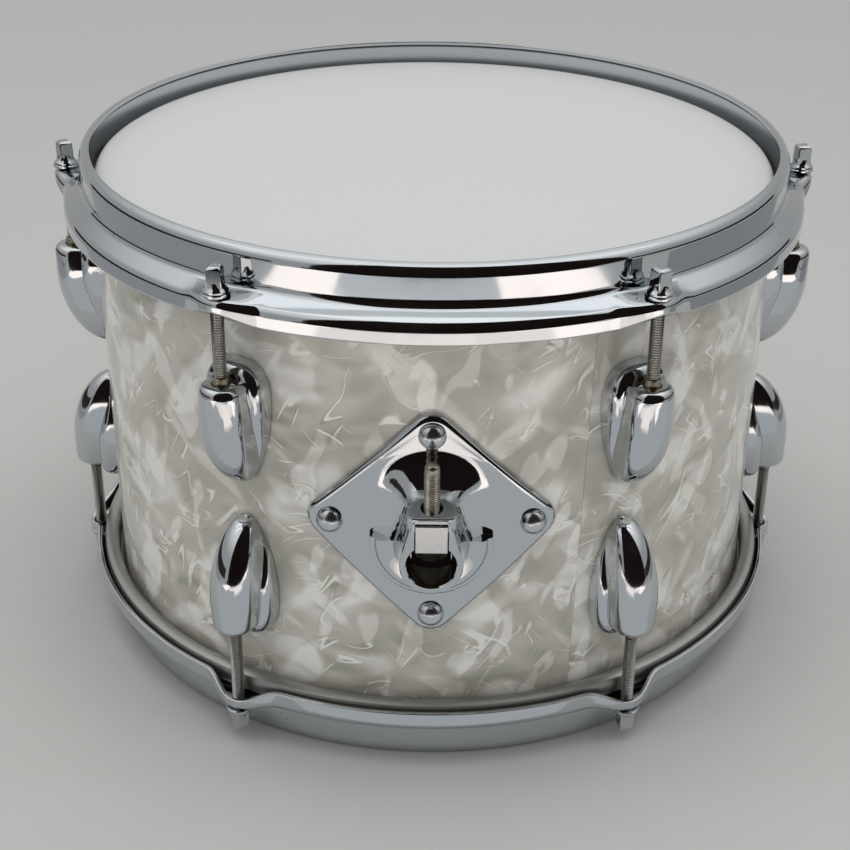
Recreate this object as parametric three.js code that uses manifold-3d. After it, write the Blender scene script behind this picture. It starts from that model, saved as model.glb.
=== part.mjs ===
// A 12 by 8 inch rack tom: a wooden shell in a wrap, two heads under flanged steel hoops,
// twelve single-ended lugs with their tension rods, and a clamping bracket for a mounting arm.
// Millimetres, +Z up. The base plane is the rim of the lower hoop. The bracket faces -Y.
import * as THREE from "three";
import { mergeVertices } from "three/addons/utils/BufferGeometryUtils.js";
import Module from "manifold-3d";

const wasm = await Module();
wasm.setup();

// ---------------------------------------------------------------- driving dimensions

const CLEARANCE = 0.3; // between pieces that touch or run in each other
const FLATS_PER_EAR = 8; // flats of the shell and its rings, for each rod
const HOOP_FLATS_PER_EAR = 12;
const HOOP_CROWDING = 0.45; // how much closer together they lie at a rod
const MOUNT_FLATS = 96; // flats round a full turn of the bracket's plate

const SHELL_RADIUS = 151.6; // outside of the bare wood
const SHELL_WALL = 5.5;
const SHELL_DEPTH = 203.2;
const EDGE_CUT = 2.3; // how far the bearing edge is turned in from the outside
const EDGE_CUT_HEIGHT = 6.6;
const EDGE_FLAT = 0.7;
const RING_WALL = 5; // reinforcement ring
const RING_HEIGHT = 32;
const RING_DROP = 3.4; // below the inner slope of the bearing edge
const WRAP_THICKNESS = 0.5;
const WRAP_DROP = 9.8; // bare wood above and below the wrap

const FILM_THICKNESS = 0.5;
const FILM_KNEE = 1.95; // film turned out over the bearing edge
const FILM_KNEE_DROP = 3.5;
const FILM_COLLAR = 11.4; // height of film from its face to the flesh hoop
const FLESH_GAP = 2.1; // flesh hoop round the wrap
const FLESH_WIDTH = 6.8;
const FLESH_HEIGHT = 8.1;
const FLESH_ROUND = 2;

const HOOP_SHEET = 2;
const HOOP_HEIGHT = 28;
const HOOP_STANDOFF = 10.9; // rim beyond the bearing edge
const HOOP_ROLL = 4; // outer radius of the rim, which is rolled inwards
const RIM_LAND = 0.8; // flat top of the rim, inside that roll
const HOOP_WALL_HEIGHT = 15;
const HOOP_WALL_GAP = 3; // inner wall of the hoop beyond the bare wood
const LEDGE_DEPTH = 17.1; // root of the ledge below the rim
const LEDGE_FALL = 2.4; // fall of the ledge from its root to the skirt
const SKIRT_CLEARANCE = 1.5; // skirt round the flesh hoop
const SKIRT_FLARE = 0.2;
const EAR_MARGIN = 5.2; // outside of the skirt beyond a rod's axis
const EAR_SPREAD = 18; // half width of that swelling
const EAR_SEAT_DEPTH = 17.2; // washer seat below the rim
const EAR_SKIRT = 5.2; // height of the skirt in front of a rod
const EAR_ROUND = 1.8;

const LUG_COUNT = 6; // at each end
const ROD_STANDOFF = 13.5; // a rod's axis beyond the wrap
const ROD_DIAMETER = 5.4;
const ROD_LENGTH = 56; // below its washer
const ROD_POINT = 1.6;
const WASHER_DIAMETER = 11.2;
const WASHER_THICKNESS = 1.3;
const FLANGE_DIAMETER = 10;
const FLANGE_THICKNESS = 1.3;
const FLANGE_CONE = 2.8;
const KEY_SQUARE = 6.35;
const KEY_HEIGHT = 6.3;
const KEY_CHAMFER = 0.9;

const NUT_DIAMETER = 7.2;
const NUT_LENGTH = 15;
const NUT_CONE_HEIGHT = 3;
const NUT_CONE_DIAMETER = 6.8;

const LUG_LENGTH = 54.6;
const LUG_START_TOP = 48; // wide end from the rim
const LUG_START_BOTTOM = 51;
const LUG_HALF_WIDTH = 13.4;
const LUG_WIDEST = 19; // from the wide end
const LUG_SQUARENESS = 3; // of the wide end's outline
const LUG_TAIL_SQUARENESS = 1.7;
const LUG_BASE_THICKNESS = 8.6;
const LUG_TIP_THICKNESS = 3.2;
const LUG_BASE_FADE = 46; // from the wide end to where the base is as thin as its tip
const LUG_BASE_ROUND = 3.4;
const NOSE_RADIUS = 8.8;
const NOSE_SETBACK = 6; // flat end of the nose from the wide end of the base
const NOSE_ROUND = 2.8;
const NOSE_SWELL = 1.14; // how many times wider it is at its tail than at its flat end
const NOSE_TAIL = 19.5; // where the nose begins to bend down, from the wide end
const NOSE_FLOOR = 3; // beyond the rod's end
const LUG_SCREW_DIAMETER = 4;
const LUG_SCREW_HEAD = 8;
const LUG_SCREW_HEAD_HEIGHT = 3;
const LUG_SCREW_NEAR = 13; // from the wide end
const LUG_SCREW_FAR = 40;

const MOUNT_TURN = -0.6; // degrees from the middle between two lugs
const PLATE_HALF_DIAGONAL = 49.6;
const PLATE_CORNER = 9;
const PLATE_THICKNESS = 3.2;
const PLATE_RISE = 1.4; // centre of the plate above the middle of the shell
const PLATE_SCREW_INSET = 8.6; // from each corner of the plate towards its centre
const PLATE_SCREW_DIAMETER = 4.8;
const PLATE_SCREW_HEAD = 11;
const PLATE_SCREW_DOME = 4.2;
const PLATE_SCREW_TAIL = 5; // beyond the inside of the shell
const PLATE_NUT_ACROSS = 8.6;
const PLATE_NUT_THICKNESS = 3.6;

const SOCKET_DROP = 4.9; // axis of the arm socket below the centre of the plate
const SOCKET_DIAMETER = 19.4;
const SOCKET_WALL = 2.8;
const SOCKET_REACH = 21.1; // from the face of the plate to the mouth
const BOSS_DIAMETER = 49;
const BOSS_HEIGHT = 6;
const BOSS_CHAMFER = 1.6;
const LANDING_HEIGHT = 21.4; // top of the housing above the socket's axis, at the mouth
const LANDING_RISE = 3.4; // from the mouth back to the plate
const LANDING_ROOF = 2.2;
const HILL_RISE = 13; // where the housing flares into the plate
const CHEEK_WALL = 1; // beside the clamp block, at the mouth
const CHEEK_SWELL = 4;

const BLOCK_WIDTH = 12.7;
const BLOCK_HEIGHT = 12.2;
const BLOCK_DEPTH = 13;
const BLOCK_LIFT = 5.7; // underside of the block above the socket's axis
const BLOCK_RECESS = 0.3;
const STUD_DIAMETER = 6.3;
const STUD_SETBACK = 6.6; // stud's axis behind the mouth
const STUD_RISE = 20.5; // above the landing
const STUD_SOCKET = 9; // depth of its hole in the block
const STUD_HOLE = 8.8; // in the landing's roof
const STUD_TIP = 1.2;

// ---------------------------------------------------------------- derived dimensions

const HALF_DEPTH = SHELL_DEPTH / 2;
const RIM = HALF_DEPTH + HOOP_STANDOFF; // height of a rim above the middle of the shell
const ROUND_FLATS = FLATS_PER_EAR * LUG_COUNT;
const EAR_PITCH = (2 * Math.PI) / LUG_COUNT;
const SHELL_BORE = SHELL_RADIUS - SHELL_WALL;
const SHELL_FLAT = SHELL_BORE * Math.cos(Math.PI / ROUND_FLATS); // bore at the middle of a flat
const WRAP_BORE = SHELL_RADIUS + CLEARANCE;
const WRAP_RADIUS = WRAP_BORE + WRAP_THICKNESS;
const SEAT_RADIUS = WRAP_RADIUS + CLEARANCE; // what lugs and the bracket sit on
const EDGE_RADIUS = SHELL_RADIUS - EDGE_CUT;
const INNER_SLOPE = SHELL_WALL - EDGE_CUT - EDGE_FLAT; // height of the 45 degree cut inside the edge
const FILM_UNDER = HALF_DEPTH + CLEARANCE;
const FILM_TOP = FILM_UNDER + FILM_THICKNESS;
const FLESH_BORE = WRAP_RADIUS + FLESH_GAP;
const FLESH_RADIUS = FLESH_BORE + FLESH_WIDTH;
const HOOP_WALL_BORE = SHELL_RADIUS + HOOP_WALL_GAP;
const HOOP_WALL_RADIUS = HOOP_WALL_BORE + HOOP_SHEET;
const RIM_RADIUS = HOOP_WALL_RADIUS - HOOP_ROLL; // outside of its flat top
const SKIRT_BORE = FLESH_RADIUS + SKIRT_CLEARANCE;
const SKIRT_RADIUS = SKIRT_BORE + HOOP_SHEET;
const ROD_CIRCLE = WRAP_RADIUS + ROD_STANDOFF;
const EAR_REACH = ROD_CIRCLE + EAR_MARGIN - SKIRT_RADIUS; // how far the skirt swells out there
const ROD_IN_LUG = ROD_LENGTH - CLEARANCE - (LUG_START_TOP + NOSE_SETBACK - EAR_SEAT_DEPTH);
const PLATE_FACE = SEAT_RADIUS + PLATE_THICKNESS;
const PLATE_SCREW_OFFSET = PLATE_HALF_DIAGONAL - PLATE_SCREW_INSET;
const PLATE_SCREW_ANGLE = PLATE_SCREW_OFFSET / PLATE_FACE;
const SOCKET_MOUTH = PLATE_FACE + SOCKET_REACH;
const SOCKET_AXIS = PLATE_RISE - SOCKET_DROP; // above the middle of the shell
const SLOT_HALF_WIDTH = BLOCK_WIDTH / 2 + CLEARANCE;
const STUD_Y = STUD_SETBACK - SOCKET_MOUTH;
const MOUNT_ANGLE = THREE.MathUtils.degToRad(MOUNT_TURN);

// The drum reaches further from its axis at the bracket than at the back.
const AXIS_SHIFT = (SOCKET_MOUTH - SKIRT_RADIUS - SKIRT_FLARE) / 2;

const CHROME = { color: 0xc9cdd1, metalness: 1, roughness: 0.08 };
const material = (look) => new THREE.MeshStandardMaterial(look);
const chrome = () => material(CHROME);

// ---------------------------------------------------------------- solids

// A closed geometry as a manifold solid.
function solid(geometry) {
  const bare = geometry.index ? geometry.toNonIndexed() : geometry.clone();
  bare.deleteAttribute("normal");
  bare.deleteAttribute("uv");
  const merged = mergeVertices(bare, 1e-4);
  return new wasm.Manifold(
    new wasm.Mesh({
      numProp: 3,
      vertProperties: merged.attributes.position.array,
      triVerts: new Uint32Array(merged.index.array),
    }),
  );
}

// A manifold solid as a flat-shaded geometry.
function geometryOf(made) {
  const mesh = made.getMesh();
  const geometry = new THREE.BufferGeometry();
  geometry.setAttribute("position", new THREE.BufferAttribute(mesh.vertProperties, 3));
  geometry.setIndex(new THREE.BufferAttribute(mesh.triVerts, 1));
  const flat = geometry.toNonIndexed();
  flat.computeVertexNormals();
  return flat;
}

const join = (...geometries) => geometryOf(geometries.map(solid).reduce((a, b) => a.add(b)));
const overlapOf = (a, b) => geometryOf(solid(a).intersect(solid(b)));

function cut(geometry, tools) {
  return geometryOf(tools.map(solid).reduce((body, tool) => body.subtract(tool), solid(geometry)));
}

// A profile of [radius, height] points turned about +Z. It runs outside upwards.
function turned(points, steps = ROUND_FLATS) {
  const profile = points.map(([radius, height]) => new THREE.Vector2(radius, height));
  return new THREE.LatheGeometry(profile, steps).rotateX(Math.PI / 2);
}

// The same for a ring, whose profile closes on itself.
const turnedRing = (points, steps) => turned([...points, points[0]], steps);

// A bar along the outward direction at the front of the shell, from one radius to another.
function radialBar(diameter, from, to, sides, height = 0) {
  const bar = new THREE.CylinderGeometry(diameter / 2, diameter / 2, to - from, sides);
  return bar.rotateX(Math.PI).translate(0, -(from + to) / 2, height);
}

// A bar along +Z.
function uprightBar(diameter, from, to, sides) {
  const bar = new THREE.CylinderGeometry(diameter / 2, diameter / 2, to - from, sides);
  return bar.rotateX(Math.PI / 2).translate(0, 0, (from + to) / 2);
}

// A closed skin over rings of [x, y, z] points, ordered from the shell outward.
// Each ring runs against the clock as seen from the front.
function skinned(rings) {
  const n = rings[0].length;
  const last = rings.length - 1;
  const middle = (ring) => [0, 1, 2].map((k) => ring.reduce((sum, p) => sum + p[k] / n, 0));
  const vertices = [...rings.flat(), middle(rings[0]), middle(rings[last])].flat();
  const back = n * rings.length;
  const front = back + 1;
  const faces = [];
  for (let i = 0; i < n; i += 1) {
    const j = (i + 1) % n;
    faces.push(back, j, i, front, last * n + i, last * n + j);
    for (let a = 0; a < last * n; a += n) {
      faces.push(a + i, a + j, a + n + j, a + i, a + n + j, a + n + i);
    }
  }
  const geometry = new THREE.BufferGeometry();
  geometry.setAttribute("position", new THREE.Float32BufferAttribute(vertices, 3));
  geometry.setIndex(faces);
  return geometry;
}

function piece(name, geometry, look, parent) {
  const mesh = new THREE.Mesh(geometry, look);
  mesh.name = name;
  parent.add(mesh);
  return mesh;
}

// Diameter, over its corners, of a many-sided hole that clears a bar.
const around = (diameter, sides) => (diameter + 2 * CLEARANCE) / Math.cos(Math.PI / sides);

// How far a flat disc of that diameter stands off the round wall of the shell.
const standOff = (diameter) => SHELL_BORE - Math.sqrt(SHELL_BORE ** 2 - (diameter / 2) ** 2);

// The space of the shell and wrap, for trimming what sits on them.
function shellSpace(steps) {
  return turned(
    [
      [0, -SHELL_DEPTH],
      [SEAT_RADIUS, -SHELL_DEPTH],
      [SEAT_RADIUS, SHELL_DEPTH],
      [0, SHELL_DEPTH],
    ],
    steps,
  );
}

// Azimuth of ear i, from the front towards +X.
const earAngle = (i) => EAR_PITCH * (i + 0.5);

// ---------------------------------------------------------------- hoop

// Section of the hoop, from 0 midway between two rods to 1 at a rod.
function hoopSection(ear) {
  const bore = SKIRT_BORE + EAR_REACH * ear;
  const skirt = SKIRT_RADIUS + EAR_REACH * ear;
  const flare = SKIRT_FLARE * (1 - ear);
  const root = RIM - THREE.MathUtils.lerp(LEDGE_DEPTH, EAR_SEAT_DEPTH, ear);
  const shoulder = root - LEDGE_FALL * (1 - ear);
  const edge = THREE.MathUtils.lerp(RIM - HOOP_HEIGHT, root - EAR_SKIRT, ear);
  const rootRadius = HOOP_WALL_RADIUS + (RIM - HOOP_WALL_HEIGHT - root) * 0.8;
  return [
    [HOOP_WALL_BORE, RIM - HOOP_WALL_HEIGHT],
    [rootRadius - HOOP_SHEET / 2, root - HOOP_SHEET],
    [bore, shoulder - HOOP_SHEET],
    [bore + flare, edge],
    [skirt + flare, edge],
    [skirt, shoulder - EAR_ROUND],
    [skirt - EAR_ROUND, shoulder],
    [rootRadius, root],
    [HOOP_WALL_RADIUS, RIM - HOOP_WALL_HEIGHT],
    [HOOP_WALL_RADIUS, RIM - HOOP_ROLL],
    [HOOP_WALL_RADIUS - HOOP_ROLL * 0.134, RIM - HOOP_ROLL * 0.5],
    [HOOP_WALL_RADIUS - HOOP_ROLL * 0.5, RIM - HOOP_ROLL * 0.134],
    [RIM_RADIUS, RIM],
    [RIM_RADIUS - RIM_LAND, RIM],
    [RIM_RADIUS - RIM_LAND, RIM - HOOP_SHEET],
    [HOOP_WALL_BORE, RIM - HOOP_ROLL],
  ];
}

// A turned ring whose every section is reshaped by how near it is to a rod.
function hoop() {
  const steps = HOOP_FLATS_PER_EAR * LUG_COUNT;
  const geometry = turnedRing(hoopSection(0), steps);
  const position = geometry.attributes.position;
  const rows = hoopSection(0).length + 1;
  for (let i = 0; i <= steps; i += 1) {
    const fromEar = (i / HOOP_FLATS_PER_EAR) % 1 - 0.5; // in pitches
    const pull = (HOOP_CROWDING / LUG_COUNT) * Math.sin(2 * Math.PI * fromEar);
    const angle = (2 * Math.PI * i) / steps - pull;
    const along = Math.abs(fromEar * EAR_PITCH - pull) * (ROD_CIRCLE / EAR_SPREAD);
    const section = hoopSection(0.5 + 0.5 * Math.cos(Math.PI * Math.min(1, along)));
    for (let j = 0; j < rows; j += 1) {
      const [radius, z] = section[j % section.length];
      position.setXYZ(i * rows + j, radius * Math.sin(angle), -radius * Math.cos(angle), z);
    }
  }
  const rodHoles = [];
  for (let i = 0; i < LUG_COUNT; i += 1) {
    const hole = uprightBar(around(ROD_DIAMETER, 8), RIM - HOOP_HEIGHT, RIM, 8);
    rodHoles.push(hole.translate(0, -ROD_CIRCLE, 0).rotateZ(earAngle(i)));
  }
  return cut(geometry, rodHoles);
}

// ---------------------------------------------------------------- head

// Film stretched over the bearing edge and down a sloping collar.
function film() {
  const foot = FLESH_BORE - CLEARANCE;
  const knee = EDGE_RADIUS + FILM_KNEE;
  const corner = EDGE_RADIUS + CLEARANCE;
  return turned([
    [0, FILM_UNDER],
    [corner, FILM_UNDER],
    [knee - FILM_THICKNESS, FILM_UNDER - FILM_KNEE_DROP],
    [foot - FILM_THICKNESS, FILM_TOP - FILM_COLLAR],
    [foot, FILM_TOP - FILM_COLLAR],
    [knee, FILM_UNDER - FILM_KNEE_DROP],
    [corner + FILM_THICKNESS / 2, FILM_TOP],
    [0, FILM_TOP],
  ]);
}

function fleshHoop() {
  const top = RIM - LEDGE_DEPTH - LEDGE_FALL - HOOP_SHEET - CLEARANCE;
  const bottom = top - FLESH_HEIGHT;
  return turnedRing([
    [FLESH_BORE + FLESH_ROUND, bottom],
    [FLESH_RADIUS - FLESH_ROUND, bottom],
    [FLESH_RADIUS, bottom + FLESH_ROUND],
    [FLESH_RADIUS, top],
    [FLESH_BORE, top],
    [FLESH_BORE, bottom + FLESH_ROUND],
  ]);
}

// ---------------------------------------------------------------- lug

// A lug is modelled at the front of the shell, with its wide end at z = 0 and its tip below.

// Half width of the egg-shaped base, at a distance from its wide end.
function eggHalfWidth(v) {
  const isTail = v > LUG_WIDEST;
  const run = isTail ? LUG_LENGTH - LUG_WIDEST : LUG_WIDEST;
  const n = isTail ? LUG_TAIL_SQUARENESS : LUG_SQUARENESS;
  const t = Math.min(1, Math.abs(v - LUG_WIDEST) / run);
  return LUG_HALF_WIDTH * (1 - t ** n) ** (1 / n);
}

// The base's outline, drawn in by an inset, as [across, from the wide end].
function eggOutline(inset) {
  const steps = 8; // down each side
  const scale = 1 - inset / LUG_HALF_WIDTH;
  const points = [];
  for (let i = 0; i < 2 * steps; i += 1) {
    const v = (LUG_LENGTH / 2) * (1 + Math.cos((Math.PI * i) / steps));
    const side = i < steps ? 1 : -1;
    points.push([side * eggHalfWidth(v) * scale, LUG_WIDEST + (v - LUG_WIDEST) * scale]);
  }
  return points;
}

// Thickness of the base at a distance from its wide end.
function baseThickness(v) {
  const fade = THREE.MathUtils.smoothstep(v, LUG_WIDEST, LUG_BASE_FADE);
  return THREE.MathUtils.lerp(LUG_BASE_THICKNESS, LUG_TIP_THICKNESS, fade);
}

// The pillow-shaped base. It starts below its seat, to be trimmed to the curve of the shell.
function lugBase() {
  const ring = (inset, share) =>
    eggOutline(inset).map(([u, v]) => [u, -SEAT_RADIUS - baseThickness(v) * share, -v]);
  return skinned([
    ring(0, -0.3),
    ring(0, 1 - LUG_BASE_ROUND / LUG_BASE_THICKNESS),
    ring(LUG_BASE_ROUND, 1),
  ]);
}

// The bullet-shaped nose, turned about the rod's axis, with its tail bent down to the shell.
function lugNose() {
  const crest = ROD_CIRCLE - SEAT_RADIUS + NOSE_RADIUS;
  const tail = LUG_LENGTH - NOSE_TAIL;
  const left = (v) => 1 - (Math.max(0, v - NOSE_TAIL) / tail) ** 2;
  const radius = (v) => NOSE_RADIUS * left(v) ** 0.35;
  const reach = (v) => crest * left(v) ** 0.54;
  const steps = 4; // along the tail
  const points = [];
  for (let i = steps; i >= 0; i -= 1) {
    const v = NOSE_TAIL + 0.97 * tail * Math.sin((Math.PI / 2) * (i / steps));
    if (i === steps) points.push([0, -v]);
    points.push([radius(v), -v]);
  }
  const nose = turned(
    [
      ...points,
      [NOSE_RADIUS, -NOSE_SETBACK - 2 * NOSE_ROUND],
      [NOSE_RADIUS - NOSE_ROUND * 0.4, -NOSE_SETBACK - NOSE_ROUND * 0.6],
      [NOSE_RADIUS - NOSE_ROUND, -NOSE_SETBACK],
      [0, -NOSE_SETBACK],
    ],
    12,
  );
  const position = nose.attributes.position;
  for (let i = 0; i < position.count; i += 1) {
    const v = -position.getZ(i);
    const swelling = THREE.MathUtils.smoothstep(v, NOSE_SETBACK, NOSE_TAIL);
    position.setX(i, position.getX(i) * THREE.MathUtils.lerp(1, NOSE_SWELL, swelling));
    position.setY(i, position.getY(i) - SEAT_RADIUS - reach(v) + radius(v));
  }
  return nose;
}

// A screw from inside the drum into the lug.
function lugScrew(v) {
  const under = SHELL_FLAT - CLEARANCE - standOff(LUG_SCREW_HEAD);
  const shank = radialBar(LUG_SCREW_DIAMETER, under - 1, SEAT_RADIUS + 2, 6, -v);
  const head = radialBar(LUG_SCREW_HEAD, under - LUG_SCREW_HEAD_HEIGHT, under, 6, -v);
  return [shank, head];
}

function lug() {
  const floor = -NOSE_SETBACK - Math.max(ROD_IN_LUG, NUT_LENGTH) - NOSE_FLOOR;
  const pocket = uprightBar(around(NUT_DIAMETER, 8), floor, 0, 8).translate(0, -ROD_CIRCLE, 0);
  const body = cut(join(lugBase(), lugNose()), [shellSpace(ROUND_FLATS), pocket]);
  return join(body, ...lugScrew(LUG_SCREW_NEAR), ...lugScrew(LUG_SCREW_FAR));
}

// ---------------------------------------------------------------- tension rod and its nut

// The rod and the washer on it, with the washer's seat at z = 0.
function tensionRod() {
  const r = ROD_DIAMETER / 2;
  const washer = CLEARANCE + WASHER_THICKNESS;
  const flange = washer + FLANGE_THICKNESS;
  const cone = flange + FLANGE_CONE;
  const shaft = turned(
    [
      [0, -ROD_LENGTH + CLEARANCE],
      [r - ROD_POINT / 2, -ROD_LENGTH + CLEARANCE],
      [r, -ROD_LENGTH + CLEARANCE + ROD_POINT],
      [r, CLEARANCE],
      [WASHER_DIAMETER / 2, CLEARANCE],
      [WASHER_DIAMETER / 2, washer],
      [FLANGE_DIAMETER / 2, washer],
      [FLANGE_DIAMETER / 2, flange],
      [KEY_SQUARE / 2, cone],
      [0, cone],
    ],
    10,
  );
  const corner = KEY_SQUARE / Math.SQRT2;
  const key = uprightBar(2 * corner, flange, cone + KEY_HEIGHT - KEY_CHAMFER, 4);
  const chamfer = new THREE.CylinderGeometry(corner - KEY_CHAMFER, corner, KEY_CHAMFER, 4);
  chamfer.rotateX(Math.PI / 2).translate(0, 0, cone + KEY_HEIGHT - KEY_CHAMFER / 2);
  return join(shaft, join(key, chamfer).rotateZ(Math.PI / 4));
}

// The nut's cone stands out of the lug, above z = 0.
function swivelNut() {
  const bore = ROD_DIAMETER / 2 + CLEARANCE;
  return turnedRing(
    [
      [bore, -NUT_LENGTH],
      [NUT_DIAMETER / 2, -NUT_LENGTH],
      [NUT_DIAMETER / 2, 0],
      [NUT_CONE_DIAMETER / 2, NUT_CONE_HEIGHT],
      [bore, NUT_CONE_HEIGHT],
    ],
    10,
  );
}

// ---------------------------------------------------------------- bracket

// The bracket is modelled at the front of the shell, with z = 0 at the middle of the shell.

// A square standing on one corner, all its corners rounded.
function diamond() {
  const shape = new THREE.Shape();
  const centre = PLATE_HALF_DIAGONAL - PLATE_CORNER;
  for (let i = 0; i < 4; i += 1) {
    const a = (Math.PI / 2) * i;
    const [x, y] = [centre * Math.cos(a), centre * Math.sin(a)];
    shape.absarc(x, y, PLATE_CORNER, a - Math.PI / 4, a + Math.PI / 4, false);
  }
  shape.closePath();
  return shape;
}

function plate() {
  const sheet = turned(
    [
      [0, PLATE_RISE - 2 * PLATE_HALF_DIAGONAL],
      [PLATE_FACE, PLATE_RISE - 2 * PLATE_HALF_DIAGONAL],
      [PLATE_FACE, PLATE_RISE + 2 * PLATE_HALF_DIAGONAL],
      [0, PLATE_RISE + 2 * PLATE_HALF_DIAGONAL],
    ],
    MOUNT_FLATS,
  );
  const prism = new THREE.ExtrudeGeometry(diamond(), {
    depth: 1.5 * PLATE_FACE,
    bevelEnabled: false,
    curveSegments: 6,
  });
  return overlapOf(sheet, prism.rotateX(Math.PI / 2).translate(0, 0, PLATE_RISE));
}

// The housing of the socket: round below, shouldered above, flaring out to the plate.
function housing() {
  const mouth = SOCKET_DIAMETER / 2 + SOCKET_WALL;
  const root = BOSS_DIAMETER / 2;
  const cheek = SLOT_HALF_WIDTH + CHEEK_WALL;
  const steps = 5;
  const rings = [];
  for (let k = steps; k >= 0; k -= 1) {
    const t = Math.sin(((Math.PI / 2) * k) / steps); // from the mouth back to the plate
    const flare = 1 - Math.sqrt(1 - t ** 3.2);
    const swell = THREE.MathUtils.smoothstep(t, 0, 0.35);
    const below = mouth + (root - mouth) * flare;
    const half = cheek + CHEEK_SWELL * swell + (root - cheek - CHEEK_SWELL) * flare;
    const top = LANDING_HEIGHT + LANDING_RISE * t + HILL_RISE * flare;
    const round = 1.5 + 3 * swell + (root - 6) * flare;
    const outline = [];
    for (let i = 0; i <= 10; i += 1) {
      const a = Math.PI * (i / 10 - 1);
      outline.push([below * Math.cos(a), below * Math.sin(a)]);
    }
    for (let i = 0; i <= 6; i += 1) {
      const a = (Math.PI / 6) * i;
      const side = Math.sign(3 - i) * (half - round);
      outline.push([side + round * Math.cos(a), top - round + round * Math.sin(a)]);
    }
    const reach = SOCKET_MOUTH - SOCKET_REACH * t;
    const place = (y) => outline.map(([x, z]) => [x, -y, z + SOCKET_AXIS]);
    if (k === steps) rings.push(place(SEAT_RADIUS - standOff(BOSS_DIAMETER)));
    rings.push(place(reach));
  }
  return skinned(rings);
}

// The step round the lower half of the housing.
function boss() {
  const root = SEAT_RADIUS - standOff(BOSS_DIAMETER);
  const face = PLATE_FACE + BOSS_HEIGHT;
  const crown = BOSS_DIAMETER / 2 - BOSS_CHAMFER;
  const edge = new THREE.CylinderGeometry(crown, BOSS_DIAMETER / 2, BOSS_CHAMFER, 24);
  edge.rotateX(Math.PI).translate(0, BOSS_CHAMFER / 2 - face, SOCKET_AXIS);
  const disc = radialBar(BOSS_DIAMETER, root, face - BOSS_CHAMFER, 24, SOCKET_AXIS);
  const lower = new THREE.BoxGeometry(2 * BOSS_DIAMETER, BOSS_DIAMETER, BOSS_DIAMETER);
  lower.translate(0, -face, SOCKET_AXIS - BOSS_DIAMETER / 2);
  return overlapOf(join(disc, edge), lower);
}

function bracket() {
  const inside = SEAT_RADIUS - BOSS_DIAMETER;
  const outside = SOCKET_MOUTH + BOSS_DIAMETER;
  const socket = radialBar(SOCKET_DIAMETER, inside, outside, 24, SOCKET_AXIS);
  const slotDepth = BLOCK_DEPTH + BLOCK_RECESS + CLEARANCE;
  const slotTop = LANDING_HEIGHT - LANDING_ROOF;
  const slot = new THREE.BoxGeometry(2 * SLOT_HALF_WIDTH, 2 * slotDepth, slotTop);
  slot.translate(0, -SOCKET_MOUTH, SOCKET_AXIS + slotTop / 2);
  const landing = SOCKET_AXIS + LANDING_HEIGHT;
  const studHole = uprightBar(STUD_HOLE, landing - 2 * LANDING_ROOF, landing + HILL_RISE, 12);
  const screwHoles = plateScrewPlaces().map(({ angle, height }) =>
    radialBar(around(PLATE_SCREW_DIAMETER, 8), inside, outside, 8, height).rotateZ(angle),
  );
  const openings = [socket, slot, studHole.translate(0, STUD_Y, 0), ...screwHoles];
  return cut(join(plate(), housing(), boss()), [shellSpace(MOUNT_FLATS), ...openings]);
}

// The screws lie towards the four corners, counted from the top one.
function plateScrewPlaces() {
  return [0, 1, 2, 3].map((i) => ({
    angle: PLATE_SCREW_ANGLE * Math.round(Math.sin((Math.PI / 2) * i)),
    height: PLATE_RISE + PLATE_SCREW_OFFSET * Math.round(Math.cos((Math.PI / 2) * i)),
  }));
}

// A dome-headed screw through the plate and the shell, its head outward along -Y.
function plateScrew() {
  const under = PLATE_FACE + CLEARANCE;
  const r = PLATE_SCREW_HEAD / 2;
  const shank = PLATE_SCREW_DIAMETER / 2;
  const screw = turned(
    [
      [0, SHELL_BORE - PLATE_SCREW_TAIL],
      [shank, SHELL_BORE - PLATE_SCREW_TAIL],
      [shank, under],
      [r, under],
      [r, under + 0.2 * PLATE_SCREW_DOME],
      [0.87 * r, under + 0.6 * PLATE_SCREW_DOME],
      [0.5 * r, under + 0.9 * PLATE_SCREW_DOME],
      [0, under + PLATE_SCREW_DOME],
    ],
    12,
  );
  return screw.rotateX(Math.PI / 2);
}

function plateNut() {
  const seat = SHELL_FLAT - CLEARANCE - standOff(PLATE_NUT_ACROSS);
  const bore = around(PLATE_SCREW_DIAMETER, 6) / 2;
  const corner = PLATE_NUT_ACROSS / Math.sqrt(3);
  const nut = turnedRing(
    [
      [bore, seat - PLATE_NUT_THICKNESS],
      [corner, seat - PLATE_NUT_THICKNESS],
      [corner, seat],
      [bore, seat],
    ],
    6,
  );
  return nut.rotateX(Math.PI / 2);
}

function clampBlock() {
  const under = SOCKET_AXIS + BLOCK_LIFT;
  const top = under + BLOCK_HEIGHT;
  const block = new THREE.BoxGeometry(BLOCK_WIDTH, BLOCK_DEPTH, BLOCK_HEIGHT);
  block.translate(0, BLOCK_RECESS + BLOCK_DEPTH / 2 - SOCKET_MOUTH, (under + top) / 2);
  const hole = uprightBar(around(STUD_DIAMETER, 12), top - STUD_SOCKET, top + 1, 12);
  return cut(block, [hole.translate(0, STUD_Y, 0)]);
}

function clampStud() {
  const foot = SOCKET_AXIS + BLOCK_LIFT + BLOCK_HEIGHT - STUD_SOCKET + CLEARANCE;
  const top = SOCKET_AXIS + LANDING_HEIGHT + STUD_RISE;
  const r = STUD_DIAMETER / 2;
  const stud = turned(
    [
      [0, foot],
      [r, foot],
      [r, top - STUD_TIP],
      [r - STUD_TIP, top],
      [0, top],
    ],
    12,
  );
  return stud.translate(0, STUD_Y, 0);
}

// ---------------------------------------------------------------- shell

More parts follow.
